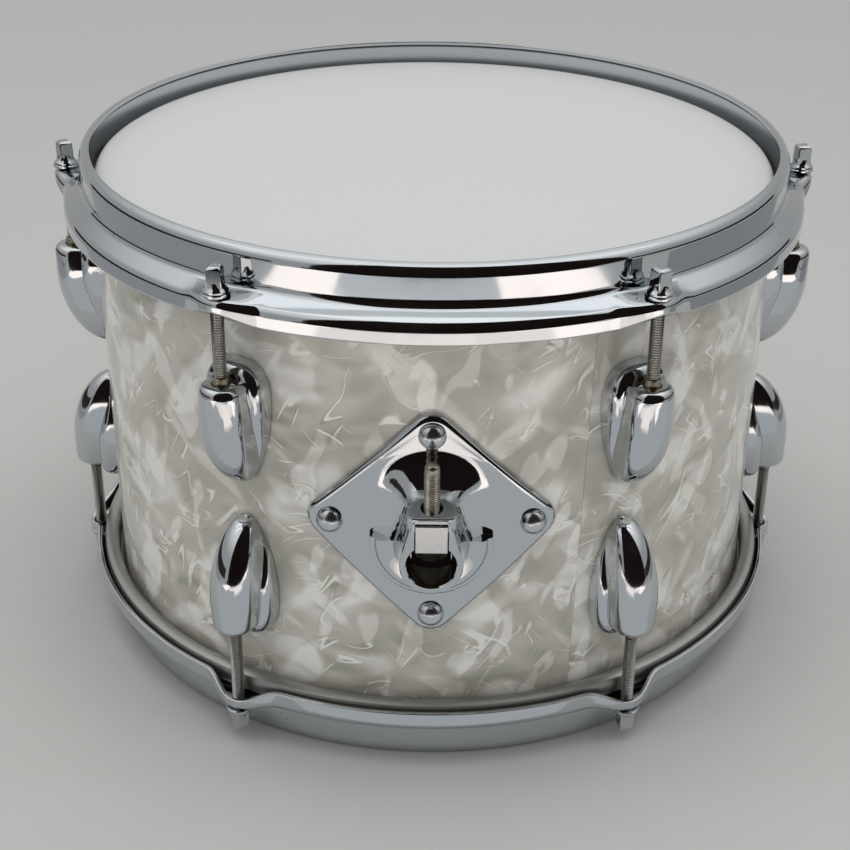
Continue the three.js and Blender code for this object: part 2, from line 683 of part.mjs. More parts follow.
function shellWall() {
  return turnedRing([
    [SHELL_BORE, INNER_SLOPE - HALF_DEPTH],
    [EDGE_RADIUS - EDGE_FLAT, -HALF_DEPTH],
    [EDGE_RADIUS, -HALF_DEPTH],
    [SHELL_RADIUS, EDGE_CUT_HEIGHT - HALF_DEPTH],
    [SHELL_RADIUS, HALF_DEPTH - EDGE_CUT_HEIGHT],
    [EDGE_RADIUS, HALF_DEPTH],
    [EDGE_RADIUS - EDGE_FLAT, HALF_DEPTH],
    [SHELL_BORE, HALF_DEPTH - INNER_SLOPE],
  ]);
}

function wrapSheet() {
  const half = HALF_DEPTH - WRAP_DROP;
  return turnedRing([
    [WRAP_BORE, -half],
    [WRAP_RADIUS, -half],
    [WRAP_RADIUS, half],
    [WRAP_BORE, half],
  ]);
}

function reinforcementRing() {
  const outer = SHELL_BORE - CLEARANCE;
  const top = HALF_DEPTH - INNER_SLOPE - RING_DROP;
  return turnedRing([
    [outer - RING_WALL, top - RING_HEIGHT],
    [outer, top - RING_HEIGHT],
    [outer, top],
    [outer - RING_WALL, top],
  ]);
}

// What the shell and its wrap are drilled for.
function shellHoles() {
  const drill = (diameter, sides, height, angle) =>
    radialBar(diameter, SHELL_BORE - SHELL_WALL, SEAT_RADIUS + SHELL_WALL, sides, height).rotateZ(angle);
  const drilled = [drill(SOCKET_DIAMETER, 24, SOCKET_AXIS, MOUNT_ANGLE)];
  for (const { angle, height } of plateScrewPlaces()) {
    drilled.push(drill(around(PLATE_SCREW_DIAMETER, 8), 8, height, MOUNT_ANGLE + angle));
  }
  for (let i = 0; i < LUG_COUNT; i += 1) {
    for (const v of [LUG_SCREW_NEAR, LUG_SCREW_FAR]) {
      for (const height of [RIM - LUG_START_TOP - v, LUG_START_BOTTOM + v - RIM]) {
        drilled.push(drill(around(LUG_SCREW_DIAMETER, 6), 6, height, earAngle(i)));
      }
    }
  }
  return drilled;
}

// ---------------------------------------------------------------- assembly

const drum = new THREE.Group();
drum.position.set(0, AXIS_SHIFT, RIM);

const holes = shellHoles();
piece("shell", cut(shellWall(), holes), material({ color: 0xb08a5c, roughness: 0.7 }), drum);
piece("wrap", cut(wrapSheet(), holes), material({ color: 0xd8d5c8, roughness: 0.25 }), drum);

const shapes = {
  hoop: hoop(),
  head: film(),
  flesh_hoop: fleshHoop(),
  reinforcement_ring: reinforcementRing(),
};
const looks = {
  hoop: CHROME,
  head: { color: 0xe4e5e3, roughness: 0.55 },
  flesh_hoop: { color: 0xa9aaa8, metalness: 1, roughness: 0.45 },
  reinforcement_ring: { color: 0xc29a68, roughness: 0.7 },
};
const lugShape = lug();
const rodShape = tensionRod();
const nutShape = swivelNut();

// The two ends are alike. The lower one is turned over about the Y axis.
for (const end of ["top", "bottom"]) {
  const side = new THREE.Group();
  const isTop = end === "top";
  const lugHeight = RIM - (isTop ? LUG_START_TOP : LUG_START_BOTTOM);
  side.rotation.y = isTop ? 0 : Math.PI;
  drum.add(side);
  for (const [name, shape] of Object.entries(shapes)) {
    piece(`${name}_${end}`, shape, material(looks[name]), side);
  }
  for (let i = 0; i < LUG_COUNT; i += 1) {
    const station = new THREE.Group();
    station.rotation.z = (isTop ? 1 : -1) * earAngle(i);
    side.add(station);
    const label = `${end}_${i + 1}`;
    piece(`lug_${label}`, lugShape, chrome(), station).position.z = lugHeight;
    const rod = piece(`tension_rod_${label}`, rodShape, chrome(), station);
    rod.position.set(0, -ROD_CIRCLE, RIM - EAR_SEAT_DEPTH);
    const nut = piece(
      `swivel_nut_${label}`,
      nutShape,
      material({ color: 0xb9ab86, metalness: 1, roughness: 0.3 }),
      station,
    );
    nut.position.set(0, -ROD_CIRCLE, lugHeight - NOSE_SETBACK);
  }
}

const mount = new THREE.Group();
mount.rotation.z = MOUNT_ANGLE;
drum.add(mount);
piece("mount_bracket", bracket(), chrome(), mount);
const screwShape = plateScrew();
const screwNutShape = plateNut();
plateScrewPlaces().forEach(({ angle, height }, i) => {
  const screw = piece(`mount_screw_${i + 1}`, screwShape, chrome(), mount);
  const nut = piece(
    `mount_nut_${i + 1}`,
    screwNutShape,
    material({ color: 0xa8a8a4, metalness: 1, roughness: 0.4 }),
    mount,
  );
  for (const mesh of [screw, nut]) {
    mesh.rotation.z = angle;
    mesh.position.z = height;
  }
});
piece("clamp_block", clampBlock(), material({ color: 0xd9d6cf, metalness: 1, roughness: 0.35 }), mount);
piece("clamp_stud", clampStud(), material({ color: 0x9c9078, metalness: 1, roughness: 0.45 }), mount);

export default drum;
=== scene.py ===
"""A 12 by 8 inch rack tom in a pearl wrap: wood shell, two heads, flanged steel hoops, twelve cast
lugs with their tension rods, and the bracket that clamps a mounting arm."""
import math
from functools import partial

import bmesh
import bpy
from mathutils import Matrix, Vector


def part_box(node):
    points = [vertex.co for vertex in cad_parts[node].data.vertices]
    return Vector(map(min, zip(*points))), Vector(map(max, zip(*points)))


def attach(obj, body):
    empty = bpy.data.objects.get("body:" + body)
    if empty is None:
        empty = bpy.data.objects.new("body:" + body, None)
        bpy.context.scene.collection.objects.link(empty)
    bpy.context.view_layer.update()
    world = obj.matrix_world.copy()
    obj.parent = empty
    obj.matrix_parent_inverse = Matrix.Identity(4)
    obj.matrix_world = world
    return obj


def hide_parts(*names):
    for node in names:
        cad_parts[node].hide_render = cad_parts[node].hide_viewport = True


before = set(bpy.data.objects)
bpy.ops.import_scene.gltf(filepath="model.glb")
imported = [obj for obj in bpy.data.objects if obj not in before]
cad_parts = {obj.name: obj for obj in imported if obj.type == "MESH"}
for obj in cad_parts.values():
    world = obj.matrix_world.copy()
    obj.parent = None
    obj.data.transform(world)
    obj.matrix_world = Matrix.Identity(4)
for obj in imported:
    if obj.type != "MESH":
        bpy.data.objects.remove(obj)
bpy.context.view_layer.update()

# ---------------- real sizes, in millimetres

MM = 0.001
UP = (0, 0, 1)
RIM = 112.5  # a hoop's rim from the middle of the drum
WRAP_BORE, WRAP_RADIUS, WRAP_HALF = 151.9, 152.4, 91.8
WRAP_SHEET = 0.36  # thickness of the sheet itself
SEAM, SEAM_LEAN = 22.9, 0.83  # degrees from the front, and more of them at the top edge
LAP, LAP_LIFT = 12.0, 0.3  # degrees the outer end takes to lie down, and how high it starts
SEAT = 152.7  # what lugs and the bracket sit on
FILM_TOP, FILM_THICKNESS = 102.4, 0.5
FLESH_BORE, FLESH_RADIUS, FLESH_TOP, FLESH_BOTTOM = 154.5, 161.3, 90.7, 82.6
HOOP_LIP = 151.9  # how far in the rim rolls
HOOP_MIDDLE = 155.6  # middle of the sheet of its upright wall
SKIRT_MIDDLE = 163.8
HOOP_SHEET = 2.0
LEDGE_TOP, LEDGE_FOOT, SKIRT_EDGE = 16.0, 21.1, 28.0  # below the rim, between two ears
LEDGE_DOME = 0.2
EAR_REACH, EAR_SPREAD = 6.3, 18.0
EAR_SEAT = 17.2  # washer seat below the rim
EAR_SKIRT = 5.2  # how far the skirt hangs below the seat at an ear
HALF_ARC = 80.4  # along a hoop, from an ear to halfway between two
ROD_CIRCLE = 165.9
ROD_LENGTH = 56.0
ROD_HOLE = 6.1  # through an ear
KEY_SIDE, KEY_HEIGHT, KEY_MIDDLE = 6.2, 9.6, 7.2
LUG_START = 48.0  # wide end of an upper lug from the rim
LUG_DROP = 3.0  # how much further from its rim a lower lug begins
LUG_LENGTH, LUG_HALF_WIDTH, LUG_WIDEST = 54.6, 13.4, 19.0
LUG_THICK, LUG_TAIL_THICK, LUG_TAPER = 8.6, 3.2, 27  # the base, and how far it takes to thin
NOSE_SETBACK, NOSE_RADIUS, NOSE_AXIS, NOSE_TAIL = 6.0, 8.8, 13.2, 19.5
NOSE_SWELL = 1.14  # how many times wider it is at its tail than at its flat end
PLATE_FACE = 155.9
PLATE_RISE = 1.4  # the diamond's middle above the drum's
PLATE_HALF, PLATE_CORNER = 49.6, 9.0  # half a diagonal, and the radius of the corners
SCREW_REACH = 41  # screws from the diamond's middle
SOCKET_AXIS = -3.5
SOCKET_MOUTH = 177.0
ARM_BORE = 19.4
STUD_AXIS = SOCKET_MOUTH - 6.6
BLOCK_WIDTH, BLOCK_DEPTH, BLOCK_HEIGHT, BLOCK_FOOT = 12.7, 13, 12.2, 5.7
MOUNT_TURN = -0.6  # degrees
EARS = 6
EAR_PITCH = 360 / EARS

shell_low, shell_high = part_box("shell")
MIDDLE = (Vector(shell_low) + Vector(shell_high)) / 2

# ---------------- places


def at(turn, out, up=0.0, across=0.0):
    """A place in the frame: degrees from the front towards +X, then millimetres out from the
    drum's axis, up from its middle, and across to the side."""
    a = math.radians(turn)
    x = out * math.sin(a) + across * math.cos(a)
    y = -out * math.cos(a) + across * math.sin(a)
    return MIDDLE + Vector((x, y, up)) * MM


def mix(a, b, t):
    """From a to b by a share."""
    return a + (b - a) * t


def smooth(t):
    """A share from 0 to 1 that starts and stops gently."""
    t = min(1.0, max(0.0, t))
    return t * t * (3 - 2 * t)


# ---------------- modelling by hand


def put_down():
    """Leaves edit mode with nothing selected."""
    if bpy.context.object and bpy.context.object.mode != "OBJECT":
        bpy.ops.object.mode_set(mode="OBJECT")
    bpy.ops.object.select_all(action="DESELECT")


def take(obj):
    """Selects one object alone and makes it the active one."""
    put_down()
    obj.select_set(True)
    bpy.context.view_layer.objects.active = obj


def everything():
    """Selects all of the mesh being edited."""
    bpy.ops.mesh.select_all(action="SELECT")


def draw(points, closed=False):
    """Extrudes a vertex from point to point, in the object being edited or in a new one."""
    editing = bpy.context.object is not None and bpy.context.object.mode == "EDIT"
    if not editing:
        put_down()
    bpy.ops.mesh.primitive_plane_add(size=MM, location=points[0])
    if not editing:
        bpy.ops.object.mode_set(mode="EDIT")
        bpy.ops.mesh.select_mode(type="VERT")
    bpy.ops.mesh.merge(type="CENTER")
    for a, b in zip(points, points[1:]):
        step = tuple(Vector(b) - Vector(a))
        bpy.ops.mesh.extrude_vertices_move(TRANSFORM_OT_translate={"value": step})
    if closed:
        bm = bmesh.from_edit_mesh(bpy.context.object.data)
        count = len(bm.verts)
        pick(numbers={count - 1, count - len(points)})
        bpy.ops.mesh.edge_face_add()


def pick(test=None, numbers=None):
    """In edit mode, selects the vertices that pass a test of their place in the frame."""
    bpy.ops.mesh.select_all(action="DESELECT")
    obj = bpy.context.object
    bm = bmesh.from_edit_mesh(obj.data)
    for i, vertex in enumerate(bm.verts):
        if numbers is not None:
            vertex.select = i in numbers
        else:
            vertex.select = bool(test(obj.matrix_world @ vertex.co))
    bm.select_flush(True)
    bmesh.update_edit_mesh(obj.data)


def loft(rings, looped=False):
    """A skin over closed rings that have as many points each. Its ends are capped, or if it is
    looped the last ring is joined to the first."""
    put_down()
    n = len(rings[0])
    for ring in rings:
        draw(ring, True)
    last = len(rings) - 1
    for a, b in [(k, k + 1) for k in range(last)] + [(last, 0)] * looped:
        pick(numbers=set(range(a * n, a * n + n)) | set(range(b * n, b * n + n)))
        bpy.ops.mesh.bridge_edge_loops()
    for k in () if looped else (0, last):
        pick(numbers=set(range(k * n, k * n + n)))
        bpy.ops.mesh.edge_face_add()
    return tidy_mesh()


def settle_flats(least, border=0.12):
    """In edit mode, gives each face of at least so many square millimetres a narrow border, so
    that the smooth shading of the edges beside it leaves it flat."""
    bpy.ops.mesh.select_mode(type="FACE")
    bpy.ops.mesh.select_all(action="DESELECT")
    mesh = bpy.context.object.data
    bm = bmesh.from_edit_mesh(mesh)
    for face in bm.faces:
        face.select = face.calc_area() > least * MM * MM
    bmesh.update_edit_mesh(mesh)
    bpy.ops.mesh.inset(thickness=border * MM, use_individual=True)
    bpy.ops.mesh.select_mode(type="VERT")


def spun(profile, place, axis, steps, closed=False):
    """A profile of world points turned once round an axis through a place."""
    draw(profile, closed)
    everything()
    bpy.ops.mesh.spin(steps=steps, angle=2 * math.pi, center=place, axis=axis)
    return tidy_mesh()


def threaded(profile, place, turns, steps):
    """A closed bar of thread: the profile of one turn, screwed down an upright axis."""
    draw(profile)
    everything()
    bpy.ops.mesh.screw(steps=steps, turns=turns, center=place, axis=UP)
    everything()
    bpy.ops.mesh.remove_doubles(threshold=0.005 * MM)
    everything()
    bpy.ops.mesh.fill_holes(sides=0)
    return tidy_mesh(0.005)


def tidy_mesh(within=0.002):
    """Merges what meets, faces everything outwards, and leaves edit mode."""
    everything()
    bpy.ops.mesh.remove_doubles(threshold=within * MM)
    bpy.ops.mesh.normals_make_consistent(inside=False)
    made = bpy.context.object
    put_down()
    return made


def use(obj, kind, **settings):
    """Adds a modifier and applies it."""
    take(obj)
    modifier = obj.modifiers.new(kind.title(), kind)
    for key, value in settings.items():
        setattr(modifier, key, value)
    bpy.ops.object.modifier_apply(modifier=modifier.name)
    return obj


def cut(obj, tool, operation="DIFFERENCE"):
    """Takes a tool out of a piece, or adds it, and removes the tool."""
    use(obj, "BOOLEAN", object=tool, operation=operation, solver="EXACT")
    bpy.data.objects.remove(tool)
    return obj


def joined(objects):
    """Makes one object of several that need not meet."""
    put_down()
    for obj in objects:
        obj.select_set(True)
    bpy.context.view_layer.objects.active = objects[0]
    bpy.ops.object.join()
    return objects[0]


def rod_of(diameter, start, end, sides=32):
    """A plain bar between two places, to cut holes with."""
    put_down()
    along = Vector(end) - Vector(start)
    bpy.ops.mesh.primitive_cylinder_add(
        vertices=sides, radius=diameter * MM / 2, depth=along.length,
        location=(Vector(start) + Vector(end)) / 2,
        rotation=along.to_track_quat("Z", "Y").to_euler())
    return bpy.context.object


def finished(obj, name, look, node, body="drum", sharp=35.0):
    """Names a piece, brings its place into its mesh and hangs it on its body, in place of a
    node of solids. Edges sharper than so many degrees stay sharp."""
    take(obj)
    bpy.ops.object.transform_apply(location=True, rotation=True, scale=True)
    bpy.ops.object.shade_smooth_by_angle(angle=math.radians(sharp))
    obj.name = obj.data.name = name
    obj.data.materials.clear()
    obj.data.materials.append(look)
    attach(obj, body)
    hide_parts(node)


def copied(obj, turn, flipped=False, twist=0.0, drop=0.0):
    """A copy with its own mesh, turned about the drum's axis and, for the lower end, over.
    It is first let down by a distance, and a rod is twisted about its own axis."""
    take(obj)
    bpy.ops.object.duplicate()
    copy = bpy.context.object
    over = Matrix.Rotation(math.pi if flipped else 0, 4, "Y")
    about = Matrix.Rotation(math.radians(turn), 4, "Z")
    place = Matrix.Translation(MIDDLE)
    own = Matrix.Translation(at(0, ROD_CIRCLE))
    spin = own @ Matrix.Rotation(math.radians(twist), 4, "Z") @ own.inverted()
    down = Matrix.Translation((0, 0, -drop * MM))
    copy.matrix_world = place @ about @ over @ place.inverted() @ spin @ down @ copy.matrix_world
    return copy


# ---------------- materials


def linear(code):
    """An sRGB hex colour as a linear one."""
    parts = [int(code[i:i + 2], 16) / 255 for i in (1, 3, 5)]
    return [c / 12.92 if c <= 0.04045 else ((c + 0.055) / 1.055) ** 2.4 for c in parts] + [1.0]


def new_look(name):
    """An empty material."""
    look = bpy.data.materials.new(name)
    look.use_nodes = True
    look.node_tree.nodes.clear()
    return look


def node(look, kind, settings=None, links=None, **attributes):
    """Adds a node with its attributes, its sockets' values, and links to its sockets."""
    tree = getattr(look, "node_tree", look)
    made = tree.nodes.new(kind)
    for key, value in attributes.items():
        setattr(made, key, value)
    for key, value in (settings or {}).items():
        made.inputs[key].default_value = value
    for key, (source, output) in (links or {}).items():
        tree.links.new(source.outputs[output], made.inputs[key])
    return made


def maths(look, kind, a, b=0.0):
    """Joins two values, each a node with its output or a plain number."""
    links = {i: v for i, v in enumerate((a, b)) if isinstance(v, tuple)}
    settings = {i: v for i, v in enumerate((a, b)) if not isinstance(v, tuple)}
    return node(look, "ShaderNodeMath", settings, links, operation=kind), "Value"


def graded(look, value, low=0.0, high=1.0, start=0.0, end=1.0):
    """A value stretched from one range to another, and kept inside it."""
    made = node(look, "ShaderNodeMapRange", {"From Min": low, "From Max": high,
                "To Min": start, "To Max": end}, {"Value": value})
    return made, "Result"


def mixed(look, share, a, b):
    """Two colours mixed by a value, each a hex code or a node with its output."""
    settings = {k: linear(v) for k, v in (("A", a), ("B", b)) if isinstance(v, str)}
    links = {k: v for k, v in (("A", a), ("B", b)) if isinstance(v, tuple)}
    return node(look, "ShaderNodeMix", settings, {"Factor": share, **links},
                data_type="RGBA"), "Result"


def grained(look, scale, detail=2.0, roughness=0.5):
    """Noise with so many grains to the metre."""
    place = node(look, "ShaderNodeTexCoord")
    return node(look, "ShaderNodeTexNoise", {"Scale": scale, "Detail": detail,
                "Roughness": roughness}, {"Vector": (place, "Object")}), "Fac"


def rough_by(look, height, depth):
    """A bump as deep as so many millimetres."""
    return node(look, "ShaderNodeBump", {"Strength": 1.0, "Distance": depth * MM},
                {"Height": height}), "Normal"


CHROME, RUST = "#C6CACD", "#2C2521"


def chrome_look(name, roughness=0.05, ripple=0.0, pits=False, change=None):
    """Bright plating: it is all reflections, with its own faint blue. Its ripple is in mm. A
    change gets the look, and gives other links for the metal."""
    look = new_look(name)
    # Handling leaves faint smears a few centimetres long, which blur what it mirrors.
    smear = grained(look, 40.0, 4.0, 0.6)
    links = {"Roughness": graded(look, smear, 0.4, 0.75, roughness, roughness + 0.07)}
    if pits:
        # Rust has eaten through the plating in single specks a third of a millimetre wide.
        place = node(look, "ShaderNodeTexCoord")
        speck = node(look, "ShaderNodeTexVoronoi", {"Scale": 130.0}, {"Vector": (place, "Object")})
        small = maths(look, "LESS_THAN", (speck, "Distance"), 0.05)
        rare = maths(look, "GREATER_THAN", grained(look, 60.0), 0.60)
        links["Base Color"] = mixed(look, maths(look, "MULTIPLY", small, rare), CHROME, RUST)
    if ripple:
        # Rolling and pressing leave the metal very slightly wavy under the plating.
        links["Normal"] = rough_by(look, grained(look, 26.0, 1.0), ripple)
    if change:
        links.update(change(look))
    metal = node(look, "ShaderNodeBsdfPrincipled", {"Base Color": linear(CHROME), "Metallic": 1.0},
                 links)
    node(look, "ShaderNodeOutputMaterial", {}, {"Surface": (metal, "BSDF")})
    return look


def heights(look):
    """Where a point is, as a node whose outputs are X, Y and Z."""
    place = node(look, "ShaderNodeTexCoord")
    return node(look, "ShaderNodeSeparateXYZ", {}, {"Vector": (place, "Object")})


def worn_thread(look):
    """Between the hoops, cut threads are worn to a duller grey steel with dust in it. The eye
    gets a bright key on a grey, finely ribbed bar."""
    up = maths(look, "SUBTRACT", (heights(look), "Z"), MIDDLE.z)
    inside = maths(look, "LESS_THAN", maths(look, "ABSOLUTE", up), (RIM - EAR_SEAT - 0.3) * MM)
    steel = mixed(look, grained(look, 700.0, 3.0), "#C6C5C2", "#77736E")
    return {"Base Color": mixed(look, inside, CHROME, steel),
            "Roughness": graded(look, inside, start=0.09, end=0.16)}


def rubbed_pad(look):
    """The clamp's nut has rubbed the pad in front dull. The eye gets a mirror all over, and a
    plain grey pad round the stud."""
    pad_low, pad_back = SOCKET_AXIS + 21.2, SOCKET_MOUTH - 14.5
    place = heights(look)
    high = maths(look, "GREATER_THAN", (place, "Z"), MIDDLE.z + pad_low * MM)
    front = maths(look, "LESS_THAN", (place, "Y"), MIDDLE.y - pad_back * MM)
    pad = maths(look, "MULTIPLY", high, front)
    return {"Roughness": graded(look, pad, start=0.06, end=0.36)}


def plain_look(name, colour, roughness, metallic, other, grain, bump=0.02):
    """One material with a fine grain, which mottles it between two colours and roughens it by
    a bump in mm."""
    look = new_look(name)
    noise = grained(look, grain, 5.0)
    shader = node(look, "ShaderNodeBsdfPrincipled", {"Metallic": metallic, "Roughness": roughness},
                  {"Base Color": mixed(look, noise, colour, other),
                   "Normal": rough_by(look, noise, bump)})
    node(look, "ShaderNodeOutputMaterial", {}, {"Surface": (shader, "BSDF")})
    return look


def pearl_wrap():
    """White marine pearl: celluloid sheet with curled nacre flakes under a polished face. The
    eye gets folds, pale on one side, over cloudy patches, and calm and busy stretches. The
    flakes' light is painted into the colour: painted highlight and painted shade on the folds,
    painted sheen in pale patches, and painted glints with a painted shadow beside them."""
    look = new_look("celluloid_pearl_wrap_polished")
    sheet = node(look, "ShaderNodeUVMap", uv_map="sheet_mm")
    warp = node(look, "ShaderNodeTexNoise", {"Scale": 0.03, "Detail": 1.0},
                {"Vector": (sheet, "UV")}, noise_dimensions="2D")
    bend = node(look, "ShaderNodeVectorMath", {1: (0.5, 0.5, 0.5)}, {0: (warp, "Color")},
                operation="SUBTRACT")
    swing = node(look, "ShaderNodeVectorMath", {"Scale": 10.0}, {0: (bend, "Vector")},
                 operation="SCALE")
    bent = node(look, "ShaderNodeVectorMath", {}, {0: (sheet, "UV"), 1: (swing, "Vector")},
                operation="ADD")

    blend, between = partial(maths, look), partial(graded, look)

    def noise(turn, stretch, scale, shift=0.0, kind="FBM", detail=1.0):
        """A layer of noise drawn out along one direction, in mm."""
        start = (turn * 3.1 + shift * 0.6, turn * 1.7 + shift, 0)  # a place of its own
        placed = node(look, "ShaderNodeMapping", {"Rotation": (0, 0, math.radians(turn)),
                      "Scale": (stretch, 1, 1), "Location": start},
                      {"Vector": (bent, "Vector")}, vector_type="TEXTURE")
        made = node(look, "ShaderNodeTexNoise", {"Scale": scale, "Detail": detail},
                    {"Vector": (placed, "Vector")}, noise_dimensions="2D", noise_type=kind)
        return made, "Fac"

    def fold(turn, stretch, scale, shift):
        """Painted highlight on one side of each fold and painted shade on the other."""
        return blend("SUBTRACT", *(noise(turn, stretch, scale, s, "RIDGED_MULTIFRACTAL")
                                   for s in (0.0, shift)))

    busy = between(noise(10, 1.0, 0.022), 0.45, 0.60)
    total = between(noise(35, 1.6, 0.03, detail=3.0), 0.3, 0.7, 0.0, 0.34)
    for turn, stretch, scale, shift, weight, everywhere in (
            (38, 1.8, 0.022, 3.0, 1.2, True), (-28, 2.0, 0.045, 1.2, 1.0, True),
            (55, 2.6, 0.07, 0.7, 2.2, False), (8, 2.4, 0.10, 0.5, 2.2, False)):
        layer = blend("MULTIPLY", fold(turn, stretch, scale, shift), weight)
        if not everywhere:
            layer = blend("MULTIPLY", layer, busy)
        total = blend("ADD", total, layer)
    # Soft pale patches of painted sheen, where a flake lies flat to the light.
    for turn, stretch, scale, low, high, weight in (
            (52, 1.9, 0.045, 0.56, 0.68, 0.34), (-38, 2.2, 0.06, 0.60, 0.66, 0.26),
            (75, 2.4, 0.085, 0.62, 0.68, 0.3)):
        patch = between(noise(turn, stretch, scale, 9.0), low, high, 0.0, weight)
        total = blend("ADD", total, patch)
    # Crisp strokes of painted highlight with a painted shadow beside them, where a flake's edge
    # breaks the light.
    for turn, stretch, scale, width in (
            (48, 5.4, 0.06, 0.012), (-35, 4.6, 0.075, 0.012), (62, 5.6, 0.085, 0.016),
            (12, 4.4, 0.085, 0.012)):
        off = blend("SUBTRACT", noise(turn, stretch, scale, detail=1.6), 0.5)
        bright = between(blend("ABSOLUTE", off), 0.3 * width, width, 0.75, 0.0)
        beside = blend("SUBTRACT", off, 1.6 * width)
        shade = between(blend("ABSOLUTE", beside), 0.0, width, 0.26, 0.0)
        where = between(noise(turn + 60, 1.3, 0.05), 0.57, 0.65)
        where = blend("MULTIPLY", where, between(busy, 0.0, 1.0, 0.4, 1.0))
        total = blend("ADD", total, blend("MULTIPLY", blend("SUBTRACT", bright, shade), where))
    # The ramp gives pattern and painted light alike their colour; its palest stop is painted
    # highlight.
    tone = node(look, "ShaderNodeValToRGB", {}, {"Fac": between(total, -0.1, 0.7)})
    ramp = tone.color_ramp
    stops = ((0.0, "#AAA89B"), (0.25, "#BFBCB0"), (0.5, "#D3CFC4"), (1.0, "#FCFAF4"))
    for position, colour in stops[1:-1]:
        ramp.elements.new(position)
    for element, (position, colour) in zip(ramp.elements, stops):
        element.position = position
        element.color = linear(colour)
    shader = node(look, "ShaderNodeBsdfPrincipled", {"Metallic": 0.15, "Roughness": 0.38,
                  "Coat Weight": 1.0, "Coat Roughness": 0.09, "Coat IOR": 1.5},
                  {"Base Color": (tone, "Color")})
    node(look, "ShaderNodeOutputMaterial", {}, {"Surface": (shader, "BSDF")})
    return look


# Hoops mirror long bands of the room, slightly wavy, with a few brown specks of rust.
chrome_hoop = chrome_look("chromed_steel_pressed", ripple=0.12, pits=True)
# Lugs are polished by hand before plating: smooth streaks of black and white.
chrome_cast = chrome_look("chromed_zinc_die_cast", ripple=0.05)
chrome_rod = chrome_look("chromed_steel_turned_and_cut", change=worn_thread)
chrome_bracket = chrome_look("chromed_zinc_die_cast_rubbed", ripple=0.05, change=rubbed_pad)
# Screw heads are barely polished, so their small mirror images are soft.
chrome_screw = chrome_look("chromed_steel_domed", roughness=0.2)
# The nut is cast and tumbled, a dull yellowish white metal.
nut_nickel = plain_look("nickelled_brass_tumbled", "#B4AC9A", 0.34, 1.0, "#8D8471", 500)
# The flesh hoop is bare aluminium, even and pale grey, without reflections.
flesh_metal = plain_look("aluminium_extruded_etched", "#B9B8B4", 0.42, 1.0, "#A3A29F", 300)
# The block is ground flat and nickelled: it shines white, with blurred reflections.
block_nickel = plain_look("nickelled_zinc_satin", "#DDDDDC", 0.26, 1.0, "#CFCECC", 600)
# The stud has lost most of its plating: pale crests over brown dirt in the thread.
stud_steel = plain_look("plated_steel_worn_thread", "#DAD5C8", 0.28, 1.0, "#5A503F", 380)
# The head has a sprayed rough coat: matt, even and nearly white.
film_coated = plain_look("polyester_film_coated", "#C8C9C9", 0.5, 0.0, "#C4C5C5", 1500, 0.01)
# Inside the drum: warm brown wood under thin lacquer, and plain grey nuts.
maple = plain_look("maple_ply_lacquered", "#B98F5F", 0.45, 0.0, "#A57A4B", 120, 0.03)
zinc_plain = plain_look("zinc_plated_steel", "#B0B2B0", 0.35, 1.0, "#8E908F", 500)
pearl = pearl_wrap()

# ---------------- hoops


def hoop_line(ear):
    """Corners of the pressed sheet's middle line, with how far each is rounded. At an ear, for
    which ear is 1, the ledge is level and the skirt swells out round the rod."""
    sheet = HOOP_SHEET / 2
    ledge = mix(LEDGE_TOP, EAR_SEAT + sheet, ear)
    shoulder = mix(LEDGE_FOOT, EAR_SEAT + sheet, ear)
    edge = mix(SKIRT_EDGE, EAR_SEAT + EAR_SKIRT, ear)
    skirt = SKIRT_MIDDLE + EAR_REACH * ear
    return [
        (HOOP_LIP, RIM - sheet, 0),
        (HOOP_MIDDLE, RIM - sheet, 3.2),
        (HOOP_MIDDLE, RIM - ledge, 2.2),
        (skirt, RIM - shoulder, 1.7),
        (skirt, RIM - edge, 0),
    ]


def hoop():
    """A sixth of the pressed sheet, bridged from section to section, and its five copies."""
    offsets = [*range(0, 21, 2), 23, 27, *range(32, 75, 6), HALF_ARC]
    offsets = [s / HALF_ARC for s in offsets]
    half_pitch = math.radians(EAR_PITCH / 2)
    put_down()
    for t in sorted({-t for t in offsets} | set(offsets)):
        angle = math.degrees(t * half_pitch)
        ear = 0.5 + 0.5 * math.cos(math.pi * min(1, abs(t) * HALF_ARC / EAR_SPREAD))
        corners = hoop_line(ear)
        points = [at(angle, radius, height) for radius, height, rounding in corners]
        # Places close to each bend keep the sheet between the bends flat when it is shaded.
        line = [points[0], points[1]]
        for k in (1, 2, 3):
            along = (points[k + 1] - points[k]).normalized() * MM
            line.append(points[k] + along * (corners[k][2] + 0.4))
            if k == 2:  # the ledge is a little domed
                line.append((points[k] + points[k + 1]) / 2 + Vector(UP) * LEDGE_DOME * MM)
            line.append(points[k + 1] - along * (corners[k + 1][2] + 0.8))
            line.append(points[k + 1])
        draw(line)
        for point, (radius, height, rounding) in zip(points, corners):
            if rounding:
                pick(lambda p: (p - point).length < 0.01 * MM)
                bpy.ops.mesh.bevel(affect="VERTICES", offset=rounding * MM, segments=5)
    everything()
    bpy.ops.mesh.bridge_edge_loops()
    everything()
    bpy.ops.mesh.spin(steps=EARS - 1, angle=math.radians(360 - EAR_PITCH), center=MIDDLE,
                      axis=UP, dupli=True)
    sheet = tidy_mesh(0.01)
    use(sheet, "SOLIDIFY", thickness=HOOP_SHEET * MM, offset=0, use_even_offset=True)
    use(sheet, "BEVEL", width=0.5 * MM, segments=3, limit_method="ANGLE",
        angle_limit=math.radians(50))
    drills = [rod_of(ROD_HOLE, *(at(i * EAR_PITCH, ROD_CIRCLE, RIM - drop) for drop in (30, 10)))
              for i in range(EARS)]
    return cut(sheet, joined(drills))


hoop_top = hoop()
first_ear = copied(hoop_top, EAR_PITCH / 2)
bpy.data.objects.remove(hoop_top)
lower_hoop = copied(first_ear, 0, True)
finished(first_ear, "hoop_pressed_top", chrome_hoop, "hoop_top")
finished(lower_hoop, "hoop_pressed_bottom", chrome_hoop, "hoop_bottom")

# ---------------- heads and flesh hoops

ROUND_STEPS = 192


